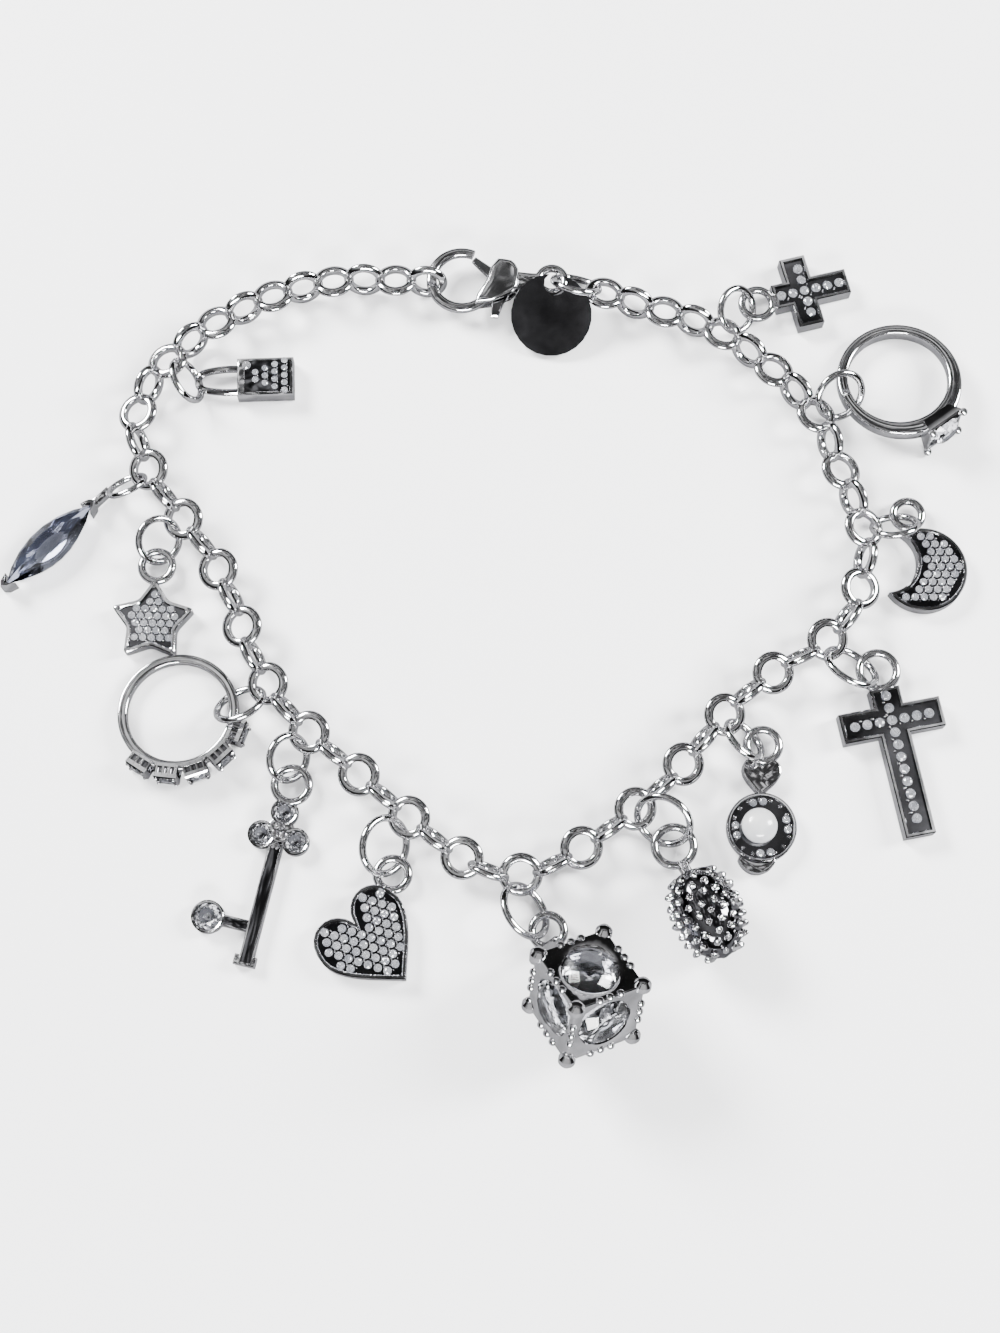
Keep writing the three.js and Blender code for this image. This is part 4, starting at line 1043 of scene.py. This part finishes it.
# %% [markdown]
# Two charms are tiny finger rings, which tilt a little as they lie on their settings. A band's
# faces are flat with soft corners, and the one with the large stone grows towards its head.

# %% Bands
def laid(x, y, lift, crown, tilt):
    """Flat on the table, with the head turned to a direction and tilted up."""
    return shift(x, y, lift) @ turn(crown) @ turn(-tilt, "Y")


def soften(value, power):
    return math.copysign(abs(value) ** power, value)


def band(outer, width, height, swell=0.0):
    """A finger ring's band, growing by a swell towards its head on +X."""
    points, sides, around = [], 96, 24
    for k in range(sides):
        angle = math.tau * k / sides
        grown = width + swell * max(0.0, 1 - min(angle, math.tau - angle) / 1.7) ** 1.4
        for c, h in circle(1, around):
            reach = outer - width + grown / 2 * (1 + soften(c, 0.4))
            points.append((reach * math.cos(angle), reach * math.sin(angle),
                           height / 2 * soften(h, 0.4)))
    return points, skin(sides, around, closed=True)


print("a band has", len(band(6.0, 1.0, 1.0)[1]), "faces")

# %% [markdown]
# The first ring holds five stones in a row. Each setting is a frame on eight small posts over a
# base plate, with a dark sheet inside as painted shade. The second holds one large stone in a
# square head that widens upward.

# %% Finger rings
def row_ring():
    place, outer = laid(-31.8, -5.0, 0.98, -71, 4), 6.0
    metal, stones = Form(place), Form(place)
    metal.add(band(outer, 0.95, 1.0))
    frame_box = box(2.3, 2.3)
    for k in range(5):
        face = turn(26 * (k - 2)) @ shift(outer, 0) @ turn(90, "Y")
        metal.add(layers(frame_box, [(0, 0.55), (0, 0.95), (0.12, 1.08), (0.26, 1.0), (0.3, 0.6)]),
                  face)
        metal.add(layers(frame_box, [(0.1, -0.5), (0, -0.4), (0, -0.15), (0.1, -0.05)]), face)
        # A dark sheet inside the setting: painted shade.
        SHADE_FLOORS.add(layers(frame_box, [(0.28, -0.2), (0.28, 0.7)]), place @ face)
        for x, y in [(x, y) for x in (-0.97, 0.97) for y in (-0.97, -0.3, 0.3, 0.97)]:
            metal.add(layers(circle(0.19, 8), [(0, -0.4), (0, 0.8)]), face @ shift(x, y))
        stones.add(gem(0.85, 0.45, 0.4), face @ shift(0, 0, 0.82))
        for x, y in box(1.72, 1.72):
            metal.add(grain(0.2, 8), face @ shift(x, y, 1.08))
    metal.piece("row_ring_band", SILVER, ["row_ring"])
    stones.facets("row_ring_stones", CLEAR, numbered("row_stone", 5))


def solitaire():
    place, outer, side = laid(41.0, 30.2, 1.51, -54, 7), 6.2, 4.1
    metal, stones = Form(place), Form(place)
    metal.add(band(outer, 1.1, 1.5, 0.75))
    face = shift(outer, 0) @ turn(90, "Y")
    metal.add(layers(box(side, side), [(0.5, -0.4), (0.25, 0.2), (0, 0.9), (0, 1.15),
                                       (0.12, 1.28), (0.3, 1.2), (0.4, 0.6)]), face)
    for x, y in box(side * 0.98, side * 0.98):
        metal.add(grain(0.42, 12), face @ shift(x, y, 1.38))
    stones.add(gem(1.85, 0.42, 0.4), face @ shift(0, 0, 1.2))
    metal.piece("solitaire_band", SILVER, ["solitaire_ring"])
    stones.facets("solitaire_gem", CLEAR, ["solitaire_stone"])


row_ring()
solitaire()
# All the dark sheets are one piece: painted shade, and a painted dark reflection on the key.
SHADE_FLOORS.piece("painted_shade_fields", DARK_SILVER)

# %% [markdown]
# The marquise has no jump ring: its own bail goes through a link and through the setting's neck,
# and leans on the table. So its place is worked out from those two points and the lean.

# %% Marquise bail
def marquise_bail(share=0.217, outer=2.3, wire=0.5, lean_most=50):
    index = min(round((share * len(LINKS) - 1) / 2) * 2 + 1, len(LINKS) - 1)
    link = LINKS[index][0]
    first = link.translation + link.col[1].to_3d() * (LINK_RADIUS - LINK_THICKNESS / 2)
    second = Vector((*PLACES["marquise"][:2], 1.0))
    cut = LINK_WIDTH / 2 / math.sin(math.radians(lean_most))
    inner = (outer - wire) * math.cos(math.pi / 10)
    near = math.sqrt(inner ** 2 - cut ** 2) - LINK_THICKNESS / 2 - 0.3
    far = outer - wire / 2
    gap = (second - first).length
    along = (second - first).normalized()
    sideways = Vector((-along.y, along.x, 0)).normalized()
    step = (gap ** 2 + near ** 2 - far ** 2) / (2 * gap)
    rise = math.sqrt(max(near ** 2 - step ** 2, 0))
    middle = first + along * step
    lean = min(math.radians(lean_most), math.asin(min(0.98, middle.z / (outer - rise))))
    up = sideways * math.cos(lean) + Vector((0, 0, math.sin(lean)))
    up = (up - along * up.dot(along)).normalized()
    middle += up * rise
    middle.z = max(middle.z, outer * math.hypot(along.z, up.z) + 0.02)
    return axes_at(middle, along, up, along.cross(up))


print("marquise bail at", [round(v, 2) for v in marquise_bail().translation])

# %% [markdown]
# The smoky stone is held by a V at each tip over a thin plate. Its long facets run from a narrow
# table to the girdle and in below it, and are split by turns one way and the other, so that
# neighbours never mirror the same thing.

# %% Marquise
MARQUISE_MIDDLE, CLAW_REACH = -8.4, 6.0


def almond(length, width, steps):
    radius = (length ** 2 / 4 + width ** 2 / 4) / width
    open_angle = math.asin(length / 2 / radius)
    angles = [-open_angle + 2 * open_angle * k / steps for k in range(steps)]
    right = arc(angles, radius, width / 2 - radius)
    return right + [(-x, -y) for x, y in right]


def long_stone(outline, steps):
    points = [(x * share, y * share, z) for share, z in steps for x, y in outline]
    n, faces = len(outline), ends(len(steps), len(outline))
    for level in range(len(steps) - 1):
        a = level * n
        for k in range(n):
            nxt = (k + 1) % n
            if (k + level) % 2:
                faces += [(a + k, a + nxt, a + n + k), (a + nxt, a + n + nxt, a + n + k)]
            else:
                faces += [(a + k, a + nxt, a + n + nxt), (a + k, a + n + nxt, a + n + k)]
    return points, faces


def marquise():
    metal = Form(hung("marquise"))
    base = layers(almond(9.3, 3.1, 8), [(0.1, 0), (0, 0.1), (0, 0.3), (0.1, 0.4)])
    metal.add(base, shift(0, MARQUISE_MIDDLE))
    claw = [(-0.75, -0.9), (0, -0.25), (0.75, -0.9), (0.5, 0.0), (0, 0.45), (-0.5, 0.0)]
    for end in (1, -1):
        tip = shift(0, MARQUISE_MIDDLE + end * CLAW_REACH) @ turn(0 if end > 0 else 180)
        metal.add(layers(claw, [(0.05, 0), (0, 0.1), (0, 1.9), (0.12, 2.15)]), tip)
    metal.add(block(0.9, 2.4, 1.1, 0.3), shift(0, -1.3, 0.4))
    metal.add(ring(2.3, 0.62), metal.place.inverted() @ marquise_bail())
    metal.piece("marquise_claws", SILVER, ["marquise_setting"])
    stone = Form(hung("marquise") @ shift(0, MARQUISE_MIDDLE, 0.3))
    stone.add(long_stone(almond(11.6, 3.9, 7),
                         [(0.3, 0.02), (0.97, 0.95), (1.0, 1.15), (0.82, 1.75), (0.52, 2.2)]))
    stone.facets("marquise_gem", SMOKY, ["marquise_stone"], slot="smoky_glass")


marquise()

# %% [markdown]
# The clasp is a lobster claw: a hook with a round back, and two cheeks with room for the lever
# between them. A pin goes through both, and a tail joins them to a ring of their own.

# %% Hook and cheeks
CLASP = shift(*CLASP_MIDDLE, 1.75)


def hook_bar(radius, width, height, start, stop):
    """A rounded bar bent to part of a circle, a little thicker at its back."""
    points, steps, around = [], 40, 14
    for k in range(steps + 1):
        angle = math.radians(start + (stop - start) * k / steps)
        swell = 1 + 0.12 * math.sin(math.pi * k / steps)
        for x, z in circle(1, around):
            r = radius + width / 2 * swell * soften(x, 0.8)
            points.append((r * math.cos(angle), r * math.sin(angle), height / 2 * soften(z, 0.8)))
    return points, ends(steps + 1, around) + skin(steps + 1, around)


def clasp_body():
    form = Form(CLASP)
    form.add(hook_bar(3.14, 0.98, 0.9, 67, 322), shift(-4.0, 0))
    cheek = [(-2.6, -2.9), (-1.0, -2.7), (0.2, -2.3), (1.2, -1.8), (1.7, -1.3), (1.9, -0.9),
             (1.9, 1.0), (1.6, 1.6), (1.2, 2.0), (0.5, 2.15), (-0.2, 2.2), (-0.9, 1.3),
             (-1.5, -0.4), (-2.4, -1.9)]
    form.add(layers(cheek, [(0.05, 0.6), (0, 0.66), (0.08, 0.84), (0.25, 0.96), (0.5, 1.0)]))
    form.add(layers(cheek, [(0.3, -1.0), (0.05, -0.9), (0, -0.66), (0.05, -0.6)]))
    tail = [(1.2, -0.9), (3.2, -0.75), (4.4, -0.7), (4.4, 0.7), (3.2, 0.75), (1.2, 1.0)]
    form.add(layers(tail, [(0.3, -0.45), (0.08, -0.34), (0, 0), (0.08, 0.34), (0.3, 0.45)]))
    form.add(ring(1.8, 0.86, 40, 14), shift(5.4, 0))
    pin = layers(circle(0.4, 20), [(0.05, -0.8), (0, -0.75), (0, 0.75), (0.1, 0.8)])
    form.add(pin, shift(*LEVER_PIN))
    form.piece("clasp_hook", SILVER, ["clasp_body"], smooth=40)


clasp_body()

# %% [markdown]
# The lever swings inward on the pin against a hidden spring, so it is a piece of its own. The tag
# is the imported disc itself, plain on both faces, and only gets its finish here.

# %% Lever and tag
def clasp_lever():
    form = Form(CLASP @ shift(*LEVER_PIN))
    outline = [(-0.3, 0.95), (-2.85, 2.8), (-3.25, 2.3), (-3.0, 2.0), (-0.95, -0.1),
               (-1.25, -4.0), (-0.55, -4.0), (0.95, -0.3), (0.95, 0.5), (0.4, 0.95)]
    form.add(layers(outline, [(0.1, -0.3), (0, -0.2), (0, 0.2), (0.1, 0.3)]))
    form.piece("clasp_gate", SILVER, ["clasp_lever"], body="clasp_lever")


clasp_lever()
tag = frame["nodes"]["tag_disc"]
tag.data.materials.clear()
tag.data.materials.append(DARK_SILVER)
print("tag in", tag.data.materials[0].name)
